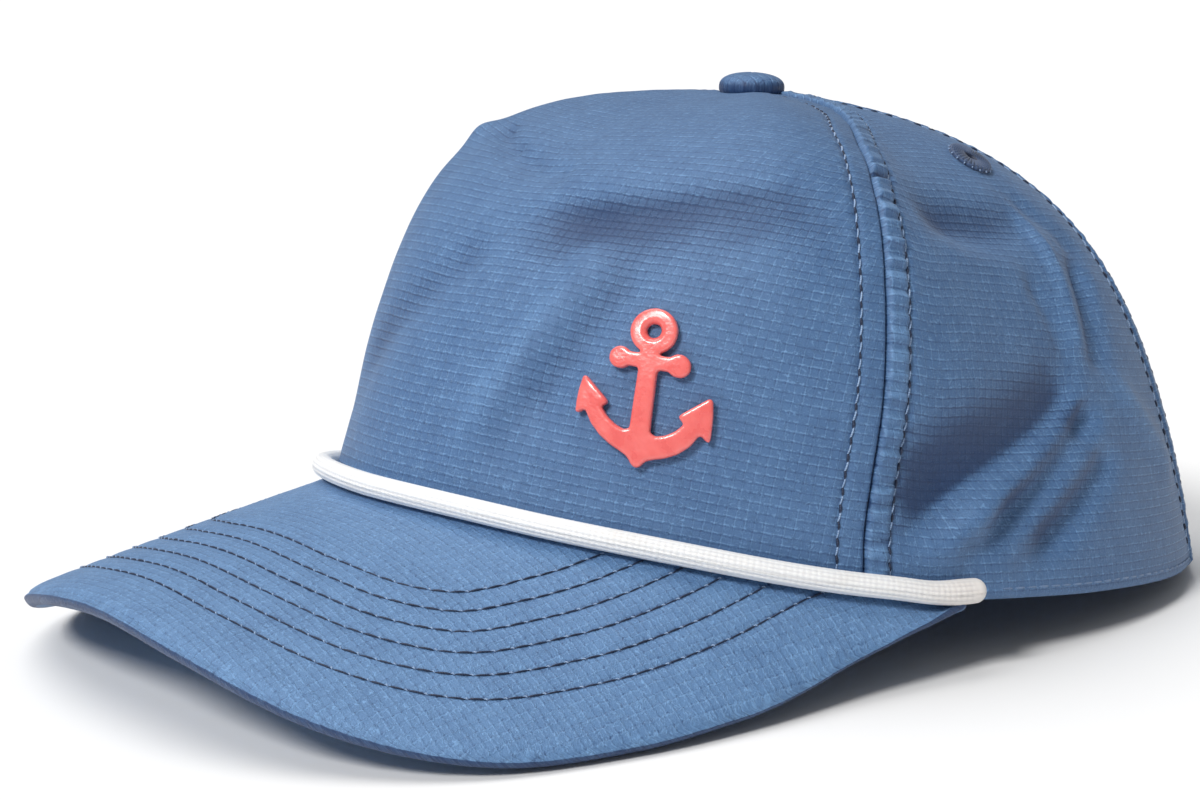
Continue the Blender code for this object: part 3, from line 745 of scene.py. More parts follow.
def makePanel(name, first, other, whole=0):
    # a panel from one seam round to another, whose angles may count a whole turn further
    def between(up, share):
        start = alongSeam(first, "angles", up)
        return start + (alongSeam(other, "angles", up) + whole - start) * share

    arched = "middle" in (first["kind"], other["kind"])
    width = np.radians(float(between(0.25, 1) - between(0.25, 0))) * crown["halfWidth"] * 1.06
    across = spread(width)
    rows = 2 * round(0.5 * panelSteps["panelRun"] / panelSteps["up"])
    share, level = np.meshgrid(across, np.linspace(0, 1, rows + 1))
    angle = [between(0.0, across)]
    for _ in range(4 if arched else 1):
        # each column starts on the arch, and leans with the seams from there
        start = np.array([archStart(a) for a in angle[0]]) if arched else 0 * across
        up = start + (crown["topUp"] - start) * level
        angle = between(up, share)

    base = plainCrown(angle, up)
    rise = lengthAlong(base)
    v = rise + alongSeam(seams[0], "run", start)
    u = lengthAlong(base, 1)
    u = u - u[:, [len(across) // 2]]
    hem = crown["hemHeight"]
    rolled = -0.75 * mm * (1 - smooth(rise, 0, 1.1 * mm)) + 0.12 * mm * bell(rise - 0.9 * mm, 0.9 * mm)
    pulled = -0.16 * mm * bell(rise - 2.0 * mm, 0.5 * mm) * (0.7 + 0.3 * np.cos(2 * np.pi * u / (3.3 * mm)))
    pulled = pulled + 0.05 * mm * ripple(u, 7 * mm, 2) * bell(rise - 4 * mm, 4 * mm)
    relief = seamRelief(angle, up) + turnedEdge(base) * (start > 0)
    # the cloth is drawn in under the button
    topDip = -0.5 * mm * smooth(up, 0.95, 0.985)
    slack = 0.10 * mm * ripple(u + 0.4 * v, 17 * mm, 3) * ripple(v - 0.3 * u, 23 * mm, 5)
    outer = crownPoint(angle, up, relief + rolled + pulled + topDip + slack)
    inHem = 1 - smooth(rise, hem - 1 * mm, hem + 0.5 * mm)
    thick = crown["wall"] + (crown["hem"] - crown["wall"]) * inHem
    inset = -thick + 0.7 * mm * (1 - smooth(rise, 0, 1.0 * mm))
    inner = crownPoint(angle, up, inset)[::2, ::2]
    # painted light and shade, with some fading on the ridges: raised cloth lighter, hollows and seam grooves
    # darker, slopes that face up lighter than those that face down
    slope = np.gradient(relief, axis=0) / panelSteps["up"]
    wearAndShading = 0.42 * np.clip(relief / (1.1 * mm), -1.8, 0.8) - 0.55 * np.clip(slope, -0.8, 0.8)
    # painted shade: the cloth is darker in its folds, the fold depth read a little to the side away from the
    # light
    wearAndShading = wearAndShading - 0.17 * np.clip(foldDepth(angle + 1.2, up - 0.01) / mm, -2, 4)
    carried = np.stack([u / mm, v / mm, wearAndShading], -1)
    # the inner face a little darker, painted shade inside the crown
    carriedIn = np.stack([u / mm, v / mm, 0 * u - 0.1], -1)[::2, ::2]
    makeSheet(name + "_cloth", outer, inner, carried, carriedIn, name)


frontLeft, frontRight, rearLeft, rearRight, backMiddle = seams
makePanel("front_panel", frontRight, frontLeft)
makePanel("side_panel_left", frontLeft, rearLeft)
makePanel("side_panel_right", rearRight, frontRight)
makePanel("back_panel_left", rearLeft, backMiddle)
makePanel("back_panel_right", backMiddle, rearRight, whole=360)
print("Hat: panels made")


def peakSection():
    # the upper cloth up to its rounded edge, with what its section needs there
    columns, topRows = 300, 66
    share = np.linspace(-1, 1, columns + 1)
    # denser towards the narrow ends
    share = 0.5 * share + 0.5 * np.sin(share * np.pi / 2)
    # a fuller edge in the middle, thinner towards the joint's ends
    side = np.abs(share)
    fullness = 1.25 - 0.25 * smooth(side, 0.28, 0.42) - 0.45 * smooth(side, 0.80, 0.97)
    radius = 0.5 * peak["thickness"] * fullness
    start = peakPoint(share, 0 * share)
    end = peakPoint(share, 0 * share + 1)
    width = np.linalg.norm(end - start, axis=-1)
    size = np.minimum(radius, 0.45 * width)
    stop = 1 - size / width
    # closer rows towards the free edge
    outs = stop * (1 - (1 - np.arange(topRows + 1)[:, None] / topRows) ** 1.15)
    upper = peakPoint(share, outs)
    normal = -normalOf(peakPoint, share, np.clip(outs, 0.01, 0.99), 0.004, 0.01)
    ahead = unit(end - peakPoint(share, 0 * share + 0.97))
    return share, upper, normal, ahead, size, outs, width


def rowCurve(k):
    # one of the peak's stitch rows, set in from its outline
    inset = peak["firstRow"] + k * peak["rowStep"]
    x, y = outlinePoint(np.linspace(0, 1, 700))
    x = np.concatenate([-x[:0:-1], x])
    y = np.concatenate([y[:0:-1], y])
    along = unit(np.stack([np.gradient(x), np.gradient(y)], -1))
    return np.stack([x - along[:, 1] * inset, y + along[:, 0] * inset], -1)


def peakRelief(points):
    # grooves of the stitch rows and the slight swell of the cloth between them
    flat = points[..., :2].reshape(-1, 2)
    away = np.full(len(flat), 1.0)
    beat = np.zeros(len(flat))
    batch = 4000  # points at a time, to spare memory
    for k in range(peak["stitchRows"]):
        row = rowCurve(k)
        run = lengthAlong(row)
        for first in range(0, len(flat), batch):
            part = slice(first, first + batch)
            gaps = np.linalg.norm(flat[part, None] - row[None], axis=-1)
            best = gaps.argmin(1)
            near = gaps[np.arange(len(best)), best]
            closer = near < away[part]
            away[part] = np.where(closer, near, away[part])
            beat[part] = np.where(closer, np.cos(2 * np.pi * run[best] / peak["stitch"]), beat[part])
    away, beat = away.reshape(points.shape[:2]), beat.reshape(points.shape[:2])
    relief = -0.20 * mm * bell(away, 0.7 * mm) * (0.75 + 0.25 * beat)
    relief = relief + 0.08 * mm * smooth(away, 0.5 * mm, 2.2 * mm) * (1 - smooth(away, 4 * mm, 9 * mm))
    return relief, away


def makePeak():
    share, upper, normal, ahead, size, outs, width = peakSection()
    relief, away = peakRelief(upper)
    x, y = upper[..., 0], upper[..., 1]
    slack = 0.05 * mm * ripple(x, 13 * mm, 1) * ripple(y, 11 * mm, 4)
    fade = 1 - smooth(outs, 0.94, 0.995)
    rolled = np.clip(1 - (1 - outs) * width[None, :] / peak["roll"], 0, 1)
    drop = 0.60 * size[None, :] * rolled ** 2
    top = upper + normal * ((relief + slack) * fade - drop)[..., None]
    edgeNormal = normal[-1]
    centre = upper[-1] - edgeNormal * size[:, None]
    edgeRun = share * 0.2  # about the way along the free edge, in metres
    arc = []
    for t in np.linspace(0, np.pi, 14)[1:-1]:
        rise = np.sign(np.cos(t)) * abs(np.cos(t)) ** 0.8 * (0.55 if t < np.pi / 2 else 1)
        wave = (1 + 0.035 * ripple(edgeRun, 6.3 * mm, 2)) * (1 - 0.42 * max(t - 0.6, 0) / np.pi)
        reach = ahead * (abs(np.sin(t)) ** 0.8 * wave)[:, None]
        arc.append(centre + size[:, None] * (edgeNormal * rise + reach))
    arc = np.array(arc)
    under = (upper - 2 * size[None, :, None] * normal)[::-2]
    under = under - normal[::-2] * (0.4 * relief * fade)[::-2][..., None]
    points = np.concatenate([top, arc, under])
    rows, columns = points.shape[:2]
    run = lengthAlong(points)
    u = points[..., 0] / mm
    v = -points[..., 1] / mm
    # round the edge the weave goes on along the section
    past = np.clip(run - run[len(top) - 1], 0, 1) / mm
    wearAndShading = np.zeros_like(u)
    creases = np.clip(0.5 + 0.9 * ripple(edgeRun, 3.8 * mm, 3), 0, 1)
    ticks = creases * (0.6 + 0.4 * ripple(edgeRun, 17 * mm, 5))
    # painted shade in the stitch grooves, and painted highlight ticks where the rolled edge creases
    wearAndShading[:len(top)] = -0.35 * bell(away, 0.55 * mm) + smooth(rolled, 0.15, 0.7) * (0.55 * ticks - 0.13)
    edge = len(top) + 3
    # painted highlight ticks along the top corner of the edge
    wearAndShading[len(top):edge] = 0.60 * ticks - 0.20
    # painted shade on the edge's side face, and less on the underside
    wearAndShading[edge:len(top) + len(arc)] = -0.62
    wearAndShading[len(top) + len(arc):] = -0.15
    carried = np.stack([u, v + np.where(past > 0, past, 0), wearAndShading], -1)
    faces = gridFaces(rows, columns, flip=True)
    last = (rows - 1) * columns
    for k in range(columns - 1):
        faces.append((last + k, k, k + 1, last + k + 1))
    faces.append(tuple(row * columns for row in range(rows - 1, -1, -1)))
    faces.append(tuple(row * columns + columns - 1 for row in range(rows)))
    makeMesh("peak_cloth", points, faces, clothPeak, carried, "peak")
    return top, normal


peakTop, peakNormal = (grid.reshape(-1, 3) for grid in makePeak())
peakTree = treeOf(peakTop * (1, 1, 0))


def onPeak(flat):
    # points and directions of the peak's upper face over plan points, by its nearest fine points
    found, directions, inside = [], [], []
    for x, y in flat:
        near = peakTree.find_n((x, y, 0), 4)
        weights = np.array([1 / (d + 1e-6) for _, _, d in near])
        weights /= weights.sum()
        ids = [k for _, k, _ in near]
        found.append((x, y, float((peakTop[ids, 2] * weights).sum())))
        directions.append((peakNormal[ids] * weights[:, None]).sum(0))
        inside.append(near[0][2] < 1.3 * mm)
    return np.array(found), np.array(directions), np.array(inside)


def stitchPeak():
    dashes, ticks = [], []
    for k in range(peak["stitchRows"]):
        place, outward, inside = onPeak(rowCurve(k))
        # only what lies in front of the joint
        first, last = np.flatnonzero(inside)[[0, -1]]
        place, outward = place[first:last + 1], outward[first:last + 1]
        # dark dashes: the thread and the painted shade of its groove
        dashes.append(stitchesAlong(place, outward, peak["stitch"], 0.90, 0.16 * mm))
        # light ticks at each needle hole: thread ends and painted glints
        ticks.append(stitchesAlong(place + outward * 0.10 * mm, outward, peak["stitch"], 0.20, 0.18 * mm,
                                   0.20 * mm, 0.5))
    strandMesh("peak_stitches", np.concatenate(dashes), 0.18 * mm, darkThreadAndShade)
    strandMesh("peak_stitch_ends_and_glints", np.concatenate(ticks), 0.13 * mm, threadBlue, rings=5, sides=5)


stitchPeak()
print("Hat: peak made")


def seamRow(seam, offset):
    # points and directions along a stitch row beside a seam, offset to its rear
    up = np.linspace(0.012, 0.955, 900)
    turn = offset / alongSeam(seam, "perDegree", up) * seam["side"]
    angle = alongSeam(seam, "angles", up) + turn
    keep = np.array([u > archStart(a) + 0.012 for a, u in zip(angle, up)])
    return clothFrame(angle[keep], up[keep])


def besideOpening(offset):
    # plan angle and way up of a line round the opening, set out from its edge
    turn = np.radians(np.linspace(9, 171, 500))
    x = (opening["halfWidth"] + offset) * np.cos(turn)
    z = (opening["height"] + offset) * np.sin(turn)
    angle = 180 - np.degrees(x / crown["halfWidth"])
    up = z / crown["height"]
    for _ in range(25):
        # each pass goes a part of the way that is left
        point = plainCrown(angle, up)
        angle = angle - 0.6 * np.degrees((x - point[:, 0]) / crown["halfWidth"])
        up = np.clip(up + 0.4 * (z - point[:, 2]) / crown["height"], 0.002, 0.9)
    return angle, up


def stitchPanels():
    strands, shadeAndHoles, hem = [], [], []
    for seam in seams:
        for offset in (-seam["ahead"], seam["behind"]):
            place, outward = seamRow(seam, offset)
            strands.append(stitchesAlong(place, outward, seamStitch, 0.80, 0.34 * mm, 0.20 * mm))
            # painted shade: a dark rod for the thread's shaded underside, and the needle hole that it goes
            # down into
            under = place + outward * 0.04 * mm
            shadeAndHoles.append(stitchesAlong(under, outward, seamStitch, 0.60, 0.26 * mm, -0.08 * mm, 0.5))
    angle = np.linspace(88, 272, 1500)
    up = shareUp(angle, 2.0 * mm)
    start = np.array([archStart(a) for a in angle])
    place, outward = clothFrame(angle, up, step=0.004)
    for side in (angle < 180, angle > 180):
        keep = side & (start < 0.004)
        hem.append(stitchesAlong(place[keep], outward[keep], 3.3 * mm, 0.80, 0.10 * mm))
    for offset in opening["rows"]:
        place, outward = clothFrame(*besideOpening(offset), 0.25 * mm)
        strands.append(stitchesAlong(place, outward, seamStitch, 0.80, 0.20 * mm, 0.12 * mm))
    strandMesh("seam_stitches", np.concatenate(strands), 0.16 * mm, threadBlue)
    strandMesh("seam_stitch_shade_and_holes", np.concatenate(shadeAndHoles), 0.27 * mm, darkThreadAndShade, rings=5, sides=6)
    strandMesh("hem_stitches", np.concatenate(hem), 0.17 * mm, threadSoft)


stitchPanels()
print("Hat: seams stitched")

rope = {
    "thickness": 4.4 * mm, "overrun": 3.0, "columns": 14, "bump": 1.15 * mm, "relief": 0.22 * mm,
    "endSwell": 0.10, "smoothEnd": 5.0 * mm,
}


def ropePoint(angle):
    x, y = planPoint(angle)
    away = 1 + (rope["thickness"] / 2 + 1.3 * peak["restGap"]) / np.hypot(x, y)
    return np.stack([x * away, y * away, rimHeight(angle) + rope["thickness"] / 2 + peak["restGap"]], -1)


def ropePaint(total):
    paint = Paint("rope_white", Roughness=0.50, Sheen_Weight=0.25, Specular_IOR_Level=0.45,
                  Subsurface_Weight=0.12, Subsurface_Scale=0.004)
    paint.shader.inputs["Subsurface Radius"].default_value = (1.0, 0.9, 0.8)
    place, along, around, hollowShade = paint.attribute("cloth")
    yarn = (around * 24.0 + along * 2.6).sine() * 0.5 + 0.5
    soil = paint.noise(place, 0.10, 3.0)
    # painted shade in the braid's hollows
    color = paint.mix(hollowShade.between(0.15, 1.0), (0.98, 0.98, 0.97, 1), (0.80, 0.80, 0.81, 1))
    color = paint.mix(soil.between(0.5, 0.8, 0, 0.35), color, (0.80, 0.76, 0.71, 1))
    nearEnd = along.between(total / mm - 22, total / mm - 3, 0, 0.75)
    color = paint.mix(nearEnd, color, (0.86, 0.80, 0.76, 1), "MULTIPLY")
    paint.feed("Base Color", color)
    paint.feed("Normal", paint.bump(yarn, 0.05 * mm, 0.7))
    return paint.material


def makeRope():
    last = peak["jointAngle"] + rope["overrun"]
    fine = ropePoint(np.linspace(-last, last, 1500))
    length = lengthAlong(fine)
    total = length[-1]
    radius = rope["thickness"] / 2
    ends = radius * (1 - np.cos(np.linspace(0.12, np.pi / 2, 12)))
    body = np.arange(radius, total - radius, rope["bump"] / 5)
    run = np.concatenate([ends[:-1], body, total - ends[::-1]])
    line = pointsAt(run, length, fine)
    ahead = unit(np.gradient(line, axis=0))
    outward = unit(np.cross(ahead, (0, 0, 1.0)))
    above = np.cross(outward, ahead)
    sides = 72
    turn = np.linspace(0, 2 * np.pi, sides, endpoint=False)
    near = np.minimum(run, total - run)
    dome = np.sqrt(np.clip(1 - (1 - np.minimum(near, radius) / radius) ** 2, 0, 1))
    swell = 1 + rope["endSwell"] * bell(near - 5 * mm, 4.5 * mm)
    braid = smooth(near, 1.0 * mm, rope["smoothEnd"])
    twist = run * 2 * np.pi / (900 * mm)
    wave = np.cos(rope["columns"] * (turn[None, :] + twist[:, None]))
    beat = np.cos(2 * np.pi * run / rope["bump"])[:, None]
    # rows of small ovals along the side that faces out, flatter above and below
    bump = np.sqrt(np.clip((0.5 + 0.5 * wave) * (0.62 + 0.38 * beat) * 1.5, 0, 1))
    facing = 0.22 + 0.78 * smooth(np.cos(turn - 0.25), 0.30, 0.80)[None, :]
    # painted shade: how deep each point lies between the bumps, most on the outward side
    hollowShade = (1 - bump) * facing
    height = (bump - 1) * rope["relief"] * facing * braid[:, None]
    strands = -0.03 * mm * (1 - braid[:, None]) * np.cos(22 * turn[None, :] + run[:, None] * 900)
    size = radius * dome[:, None] * swell[:, None] + (height + strands) * dome[:, None]
    points = line[:, None] + size[..., None] * circle(turn, outward[:, None], above[:, None])
    around = turn / (2 * np.pi) * 13.8  # about the way round, in mm
    carried = np.stack(np.broadcast_arrays(run[:, None] / mm, around, hollowShade * braid[:, None]), -1)
    makeMesh("braided_rope", points, tubeFaces(len(run), sides), ropePaint(total), carried, "rope")


makeRope()
print("Hat: rope braided")

button = {"width": 13.6 * mm, "height": 5.0 * mm, "sunk": 1.5 * mm, "roll": np.radians(112)}


def makeButton():
    radius = button["width"] / 2
    ring = np.linspace(0, 360, 24, endpoint=False)
    flatShare = 0.66  # about the meridians' own
    up = 1 - radius / (3 * flatShare * crown["halfWidth"])
    around = crownPoint(ring, up)
    tilt = math.atan2(around[0][2] - around[12][2], around[12][1] - around[0][1])
    normal = np.array([0, math.sin(tilt), math.cos(tilt)])
    middle = np.array([0, crown["buttonBack"], crown["height"]])
    clear = max(float(((around - middle) @ normal).max()), 0) + peak["restGap"]
    rows, sides = 40, 96
    t = np.linspace(0.02, 1, rows)[:, None]
    turn = np.linspace(0, 2 * np.pi, sides, endpoint=False)[None, :]
    # a flattened dome whose lower edge rolls under
    lean = t * button["roll"]
    out = radius * np.sin(lean) ** 0.86
    high = button["height"] * (0.40 + 0.60 * np.sign(np.cos(lean)) * np.abs(np.cos(lean)) ** 0.8)
    gather = 0.07 * mm * smooth(t, 0.6, 0.95) * (ripple(turn * 2.3 * mm, 1.9 * mm, 2))
    creases = 0.05 * mm * ripple(turn * 3 * mm, 5 * mm, 1) * smooth(t, 0.1, 0.5)
    out = out + gather + creases
    x, y = out * np.cos(turn), out * np.sin(turn)
    z = high + 0 * turn + 0.12 * mm * np.sin(2 * turn + 1) * (1 - t)
    points = np.stack([x, y, z], -1)
    tipped = np.array([[1, 0, 0], [0, math.cos(tilt), math.sin(tilt)], [0, -math.sin(tilt), math.cos(tilt)]])
    points = points @ tipped.T + middle + normal * (clear - button["sunk"])
    # darker overall, and painted shade where the lower edge rolls under
    wearAndShading = -0.45 * smooth(t, 0.5, 0.9) - 0.12 + 0 * turn
    carried = np.stack([x / mm + 40, y / mm + 40, wearAndShading], -1)
    makeMesh("covered_button", points, tubeFaces(rows, sides), clothBlue, carried, "top_button")


makeButton()

eyelet = {
    "width": 9.6 * mm, "hole": 2.6 * mm, "height": 1.0 * mm,
    "angle": 119.0, "up": 0.672, "stitches": 34,
}


def frameOn(angle, up, out):
    # a point over the cloth, and the directions across, up and out there
    point = crownPoint(angle, up, out)
    normal = normalOf(crownPoint, np.float64(angle), np.float64(up), 1.5, 0.012)
    upward = unit(np.array([0, 0, 1]) - normal * normal[2])
    return point, np.cross(upward, normal), upward, normal


def makeEyelet(name, side):
    point, across, upward, normal = frameOn(side * eyelet["angle"], eyelet["up"], 0.25 * mm)
    outer, inner = eyelet["width"] / 2, eyelet["hole"] / 2
    middle, half = (outer + inner) / 2, (outer - inner) / 2
    rows, sides = 17, 136
    t = np.linspace(-np.pi * 0.5, np.pi * 0.5, rows)
    lower = np.array([[outer - 0.3 * mm, -0.5 * mm], [inner + 0.2 * mm, -0.9 * mm]])
    profile = np.stack([middle + half * np.sin(t), eyelet["height"] * np.cos(t) ** 0.55], -1)
    profile = np.concatenate([profile, lower])
    turn = np.linspace(0, 2 * np.pi, sides, endpoint=False)
    cord = np.abs(np.cos(turn * eyelet["stitches"] / 2)) ** 0.7
    lift = 1 + 0.42 * (cord[None, :] - 1) * (profile[:, 1:] > 0)
    radius = profile[:, :1] + 0 * turn[None, :] + 0.10 * mm * (cord[None, :] - 0.5)
    high = profile[:, 1:] * lift
    rim = circle(turn, across, upward)
    points = point + radius[..., None] * rim + high[..., None] * normal
    carried = np.stack(np.broadcast_arrays(profile[:, :1] / mm, turn * 3, 0.5), -1)
    makeMesh(name + "_ring", points, ringFaces(len(profile), sides), eyeletThread, carried, name)
    # pale thread ends round the outer edge
    marks = np.linspace(0, 2 * np.pi, eyelet["stitches"] // 2, endpoint=False)
    ticks = [point + away * circle(marks, across, upward) for away in (outer - 0.15 * mm, outer + 0.35 * mm)]
    facing = normal + 0 * ticks[0]
    lifts = np.stack([0.12 * mm + 0 * marks, 1 + 0 * marks, 0 * marks], -1)
    ends = np.stack([ticks[0] + facing * 0.25 * mm, ticks[1], facing, lifts], 1)
    strandMesh(name + "_ticks", ends, 0.12 * mm, threadBlue)
    # the dark hole itself, a short sleeve of cloth edge down through the panel, in the near-black material
    # as painted shade inside the hole
    depth = np.array([0.5, 0.1, -0.6, -1.6]) * mm
    size = np.array([1.02, 0.95, 0.92, 0.90]) * inner
    wall = point + size[:, None, None] * rim + depth[:, None, None] * normal
    outerWall = point + (size + 0.25 * mm)[:, None, None] * rim + depth[:, None, None] * normal
    both = np.concatenate([wall, outerWall[::-1]])
    makeMesh(name + "_sleeve", both, ringFaces(len(both), sides), darkThreadAndShade, 0 * both)
    cutter = bpy.data.meshes.new("cutter")
    long = np.array([-6, 6]) * mm
    rod = point + 1.12 * inner * rim[::4] + long[:, None, None] * normal + toWorld
    cutter.from_pydata(rod.reshape(-1, 3).tolist(), [], tubeFaces(2, rod.shape[1]))
    return addObject("cutter", cutter)


def carryOver(whole, holed):
    # the cut mesh takes each point's place in the cloth from the nearest point of the whole one
    tree = treeOf([vertex.co for vertex in whole.vertices])
    values = np.zeros(len(whole.vertices) * 3, np.float32)
    whole.attributes["cloth"].data.foreach_get("vector", values)
    nearest = [tree.find(vertex.co)[1] for vertex in holed.vertices]
    old = holed.attributes.get("cloth")
    if old is not None:
        holed.attributes.remove(old)
    carry(holed, values.reshape(-1, 3)[nearest])
    holed.shade_smooth()


eyeletThread = threadPaint("eyelet_thread", (0.016, 0.034, 0.085, 1), (0.060, 0.110, 0.225, 1), 0.3)
for side, name, panel in ((1, "eyelet_left", "side_panel_left"), (-1, "eyelet_right", "side_panel_right")):
    cutter = makeEyelet(name, side)
    cloth = bpy.data.objects[panel + "_cloth"]
    cut = cloth.modifiers.new("hole", "BOOLEAN")
    cut.object = cutter
    cut.solver = "EXACT"
    holed = shapedMesh(cloth)
    cloth.modifiers.clear()
    whole = cloth.data
    cloth.data = holed
    carryOver(whole, holed)
    bpy.data.objects.remove(cutter)
print("Hat: button and eyelets made")

anchor = {
    "angle": 41.0, "up": 0.185, "height": 30.8 * mm, "thickness": 1.9 * mm,
    "lean": math.radians(-5.2), "slope": math.radians(-8.0), "voxel": 0.24 * mm,
    # shares of the height: the ring's radius, its hole's radius and how high its middle lies
    "ring": 0.151, "hole": 0.047, "ringY": 0.349,
}


def anchorOutline():
    # one half from the ring down, in shares of the anchor's height, then mirrored
    ring, ringY = anchor["ring"], anchor["ringY"]
    shank = 0.058
    bar, barY = 0.045, 0.150
    ballX, ball = 0.184, 0.072
    points = []
    stop = math.asin(shank / ring)
    for t in np.linspace(math.pi / 2, -math.pi / 2 + stop, 20):
        points.append((ring * math.cos(t), ringY + ring * math.sin(t)))
    points.append((shank, barY + bar))
    stop = math.asin(bar / ball)
    for t in np.linspace(math.pi - stop, -math.pi + stop, 18):
        points.append((ballX + ball * math.cos(t), barY + ball * math.sin(t)))
    points.append((shank, barY - bar))
    points.append((shank * 1.05, -0.255))
    points += [(0.095, -0.266), (0.150, -0.250), (0.205, -0.215), (0.250, -0.168)]
    points += [(0.218, -0.146), (0.216, -0.128), (0.240, -0.108), (0.375, -0.006), (0.394, -0.004)]
    points += [(0.402, -0.022), (0.408, -0.110), (0.404, -0.228), (0.392, -0.240), (0.376, -0.232)]
    points += [(0.344, -0.206), (0.326, -0.232), (0.295, -0.278), (0.232, -0.332), (0.160, -0.370)]
    points += [(0.090, -0.394), (0.055, -0.410), (0.022, -0.448), (0.0, -0.458)]
    other = [(-x, y) for x, y in points[::-1] if x > 0]
    return [(x * anchor["height"], y * anchor["height"]) for x, y in points + other]


def anchorPaint():
    paint = Paint("emblem_coral", Specular_IOR_Level=0.55, Subsurface_Weight=0.10,
                  Subsurface_Scale=0.002, Coat_Weight=0.55, Coat_Roughness=0.14)
    place, _, _, height = paint.attribute("cloth")
    cloud = paint.noise(place, 0.35, 3.0)
    color = paint.mix(cloud.between(0.3, 0.7), (0.86, 0.135, 0.125, 1), (0.93, 0.180, 0.165, 1))
    # painted shade: darker towards the foot, where the emblem meets the cloth
    paint.feed("Base Color", paint.mix(height.between(0.0, 0.5, 0.45, 0.0), color, (0.42, 0.05, 0.05, 1)))
    paint.feed("Roughness", 0.22 + cloud * 0.12)
    waves = paint.noise(place, 0.8, 2.0) + paint.noise(place, 7.0, 2.0) * 0.08
    paint.feed("Normal", paint.bump(waves, 0.22 * mm, 0.5))
    return paint.material


def makeAnchor():
    curve = bpy.data.curves.new("anchor", "CURVE")
    curve.dimensions = "2D"
    curve.fill_mode = "BOTH"
    curve.extrude = anchor["thickness"] / 2
    hole = anchor["hole"] * anchor["height"]
    holeY = anchor["ringY"] * anchor["height"]
    turn = np.linspace(0, 2 * math.pi, 28, endpoint=False)
    ring = [(hole * math.cos(t), holeY + hole * math.sin(t)) for t in turn]
    for outline in (anchorOutline(), ring):
        spline = curve.splines.new("POLY")
        spline.points.add(len(outline) - 1)
        spline.use_cyclic_u = True
        for point, (x, y) in zip(spline.points, outline):
            point.co = (x, y, 0, 1)
    flat = addObject("flat_anchor", curve)
    solid = addObject("solid_anchor", shapedMesh(flat))
    bpy.data.objects.remove(flat)
    weld = solid.modifiers.new("weld", "WELD")
    weld.merge_threshold = 0.00001
    remesh = solid.modifiers.new("even", "REMESH")
    remesh.mode = "VOXEL"
    remesh.voxel_size = anchor["voxel"]
    soften = solid.modifiers.new("soften", "SMOOTH")
    soften.factor = 0.5
    soften.iterations = 14
    made = shapedMesh(solid)
    bpy.data.objects.remove(solid)
    places = np.zeros(len(made.vertices) * 3)
    made.vertices.foreach_get("co", places)
    x, y, z = places.reshape(-1, 3).T
    faces = [tuple(face.vertices) for face in made.polygons]
    across = x * math.cos(anchor["slope"]) - y * math.sin(anchor["lean"])
    along = x * math.sin(anchor["slope"]) + y * math.cos(anchor["lean"])
    angle, up = anchor["angle"], anchor["up"]
    perDegree = np.linalg.norm(plainCrown(angle + 0.5, up) - plainCrown(angle - 0.5, up))
    perUp = np.linalg.norm(plainCrown(angle, up + 0.01) - plainCrown(angle, up - 0.01)) / 0.02
    high = z + anchor["thickness"] / 2
    # a countersunk ring, and a slightly pillowed face
    fromHole = np.hypot(x, y - holeY)
    sink = 0.55 * mm * (1 - smooth(fromHole, 1.2 * mm, 2.6 * mm)) * smooth(high, 0.4 * mm, 1.2 * mm)
    wavy = 0.05 * mm * np.sin(x / (1.9 * mm)) * np.sin(y / (2.3 * mm) + 1) * smooth(high, 0.4 * mm, 1.2 * mm)
    out = high - sink + wavy + 0.15 * mm
    points = crownPoint(angle + across / perDegree, up + along / perUp, out)
    carried = np.stack([x / mm, y / mm, high / mm], -1)
    makeMesh("coral_anchor", points, faces, anchorPaint(), carried, "anchor_emblem")


makeAnchor()
print("Hat: anchor made")

strap = {"height": 20.0 * mm, "thickness": 1.5 * mm, "overlap": 9.0 * mm, "lift": 1.2 * mm}


def makeStrap():
    inset = crown["hem"] + peak["restGap"]
    fromBack = np.linspace(0, 80, 400)
    half = np.interp(opening["halfWidth"] + strap["overlap"], planPoint(180 - fromBack)[0], fromBack)
    angle, level = np.meshgrid(180 + half * np.linspace(-1, 1, 181), np.linspace(0, 1, 33))
    low = shareUp(angle, strap["lift"])
    up = low + (shareUp(angle, strap["lift"] + strap["height"]) - low) * level
    normal = normalOf(plainCrown, angle, up, 0.4, 0.003)
    place = plainCrown(angle, up) - inset * normal
    u = lengthAlong(place, 1)
    v = level * strap["height"]
    edge = np.minimum(v, strap["height"] - v)
    relief = -0.45 * mm * (1 - smooth(edge, 0, 0.9 * mm)) - 0.18 * mm * bell(edge - 2.2 * mm, 0.6 * mm)
    relief = relief + 0.06 * mm * ripple(u, 6 * mm, 3) * bell(edge - 2.2 * mm, 2 * mm)
    outer = place + normal * relief[..., None]
    thick = strap["thickness"] - 0.4 * mm * (1 - smooth(edge, 0, 0.9 * mm))
    inner = (place - normal * thick[..., None])[::2, ::2]
    # painted light and shade from the relief: darker along the turned edges and the stitch grooves
    carried = np.stack([u / mm, v / mm, relief / mm * 0.6], -1)
    makeSheet("back_strap", outer, inner, carried, carried[::2, ::2], "closure_strap")
    # a row of stitches near each edge, on these rows of its points
    rows = [stitchesAlong(outer[row], normal[row], seamStitch, 0.8, 0.2 * mm) for row in (3, -4)]
    strandMesh("strap_stitches", np.concatenate(rows), 0.18 * mm, threadBlue)


makeStrap()
print("Hat: strap made")

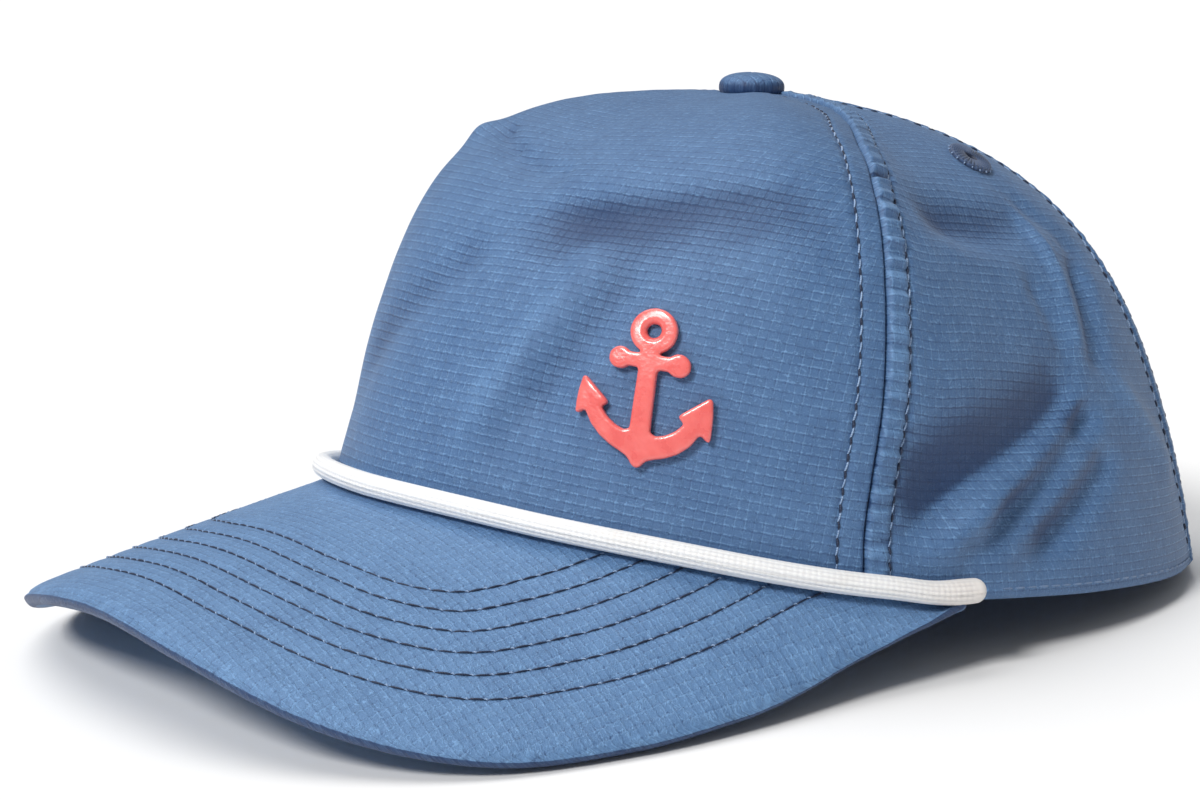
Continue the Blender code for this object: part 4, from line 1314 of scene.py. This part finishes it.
view = {
    "azimuth": 53.946, "elevation": 10.054, "roll": -1.219, "lens": 82.45,
    "eye": (443.34 * mm, -334.67 * mm, 141.71 * mm),
}


def placeCamera():
    a, e, r = (math.radians(view[key]) for key in ("azimuth", "elevation", "roll"))
    back = Vector((math.sin(a) * math.cos(e), -math.cos(a) * math.cos(e), math.sin(e)))
    right = Vector((math.cos(a), math.sin(a), 0))
    above = back.cross(right)
    tilted = right * math.cos(r) + above * math.sin(r)
    upward = above * math.cos(r) - right * math.sin(r)
    matrix = Matrix.Identity(4)
    for row in range(3):
        matrix[row][:] = (tilted[row], upward[row], back[row], view["eye"][row])
    data = bpy.data.cameras.new("camera")
    data.lens = view["lens"]
    data.sensor_width = 36
    data.clip_start = 0.01
    camera = addObject("camera", data)
    camera.matrix_world = matrix
    bpy.context.scene.camera = camera


def addSun(name, toward, softness, power, color):
    # a broad even light from a direction, so the floor is lit alike all over
    data = bpy.data.lights.new(name, "SUN")
    data.angle = math.radians(softness)
    data.energy = power
    data.color = color
    addObject(name, data).rotation_euler = Vector(toward).to_track_quat("Z", "Y").to_euler()


def addStudio():
    bpy.context.scene.view_settings.view_transform = "Standard"
    world = bpy.data.worlds.new("studio")
    world.use_nodes = True
    sky = world.node_tree.nodes["Background"].inputs
    sky["Color"].default_value = (0.97, 0.98, 1.0, 1)
    sky["Strength"].default_value = 0.24
    bpy.context.scene.world = world
    mesh = bpy.data.meshes.new("floor")
    reach = 12.0
    corners = [(-reach, -reach, 0), (reach, -reach, 0), (reach, reach, 0), (-reach, reach, 0)]
    mesh.from_pydata(corners, [], [(0, 1, 2, 3)])
    floor = addObject("floor", mesh)
    paint = Paint("floor_white", Roughness=1.0, Specular_IOR_Level=0.0)
    paint.shader.inputs["Base Color"].default_value = (0.92, 0.92, 0.92, 1)
    mesh.materials.append(paint.material)
    addSun("key", (0.22, -0.72, 0.66), 16, 2.20, (1.0, 0.99, 0.975))
    addSun("top", (-0.35, -0.10, 1.0), 50, 1.50, (1.0, 1.0, 1.0))


placeCamera()
addStudio()

print("Hat: done")
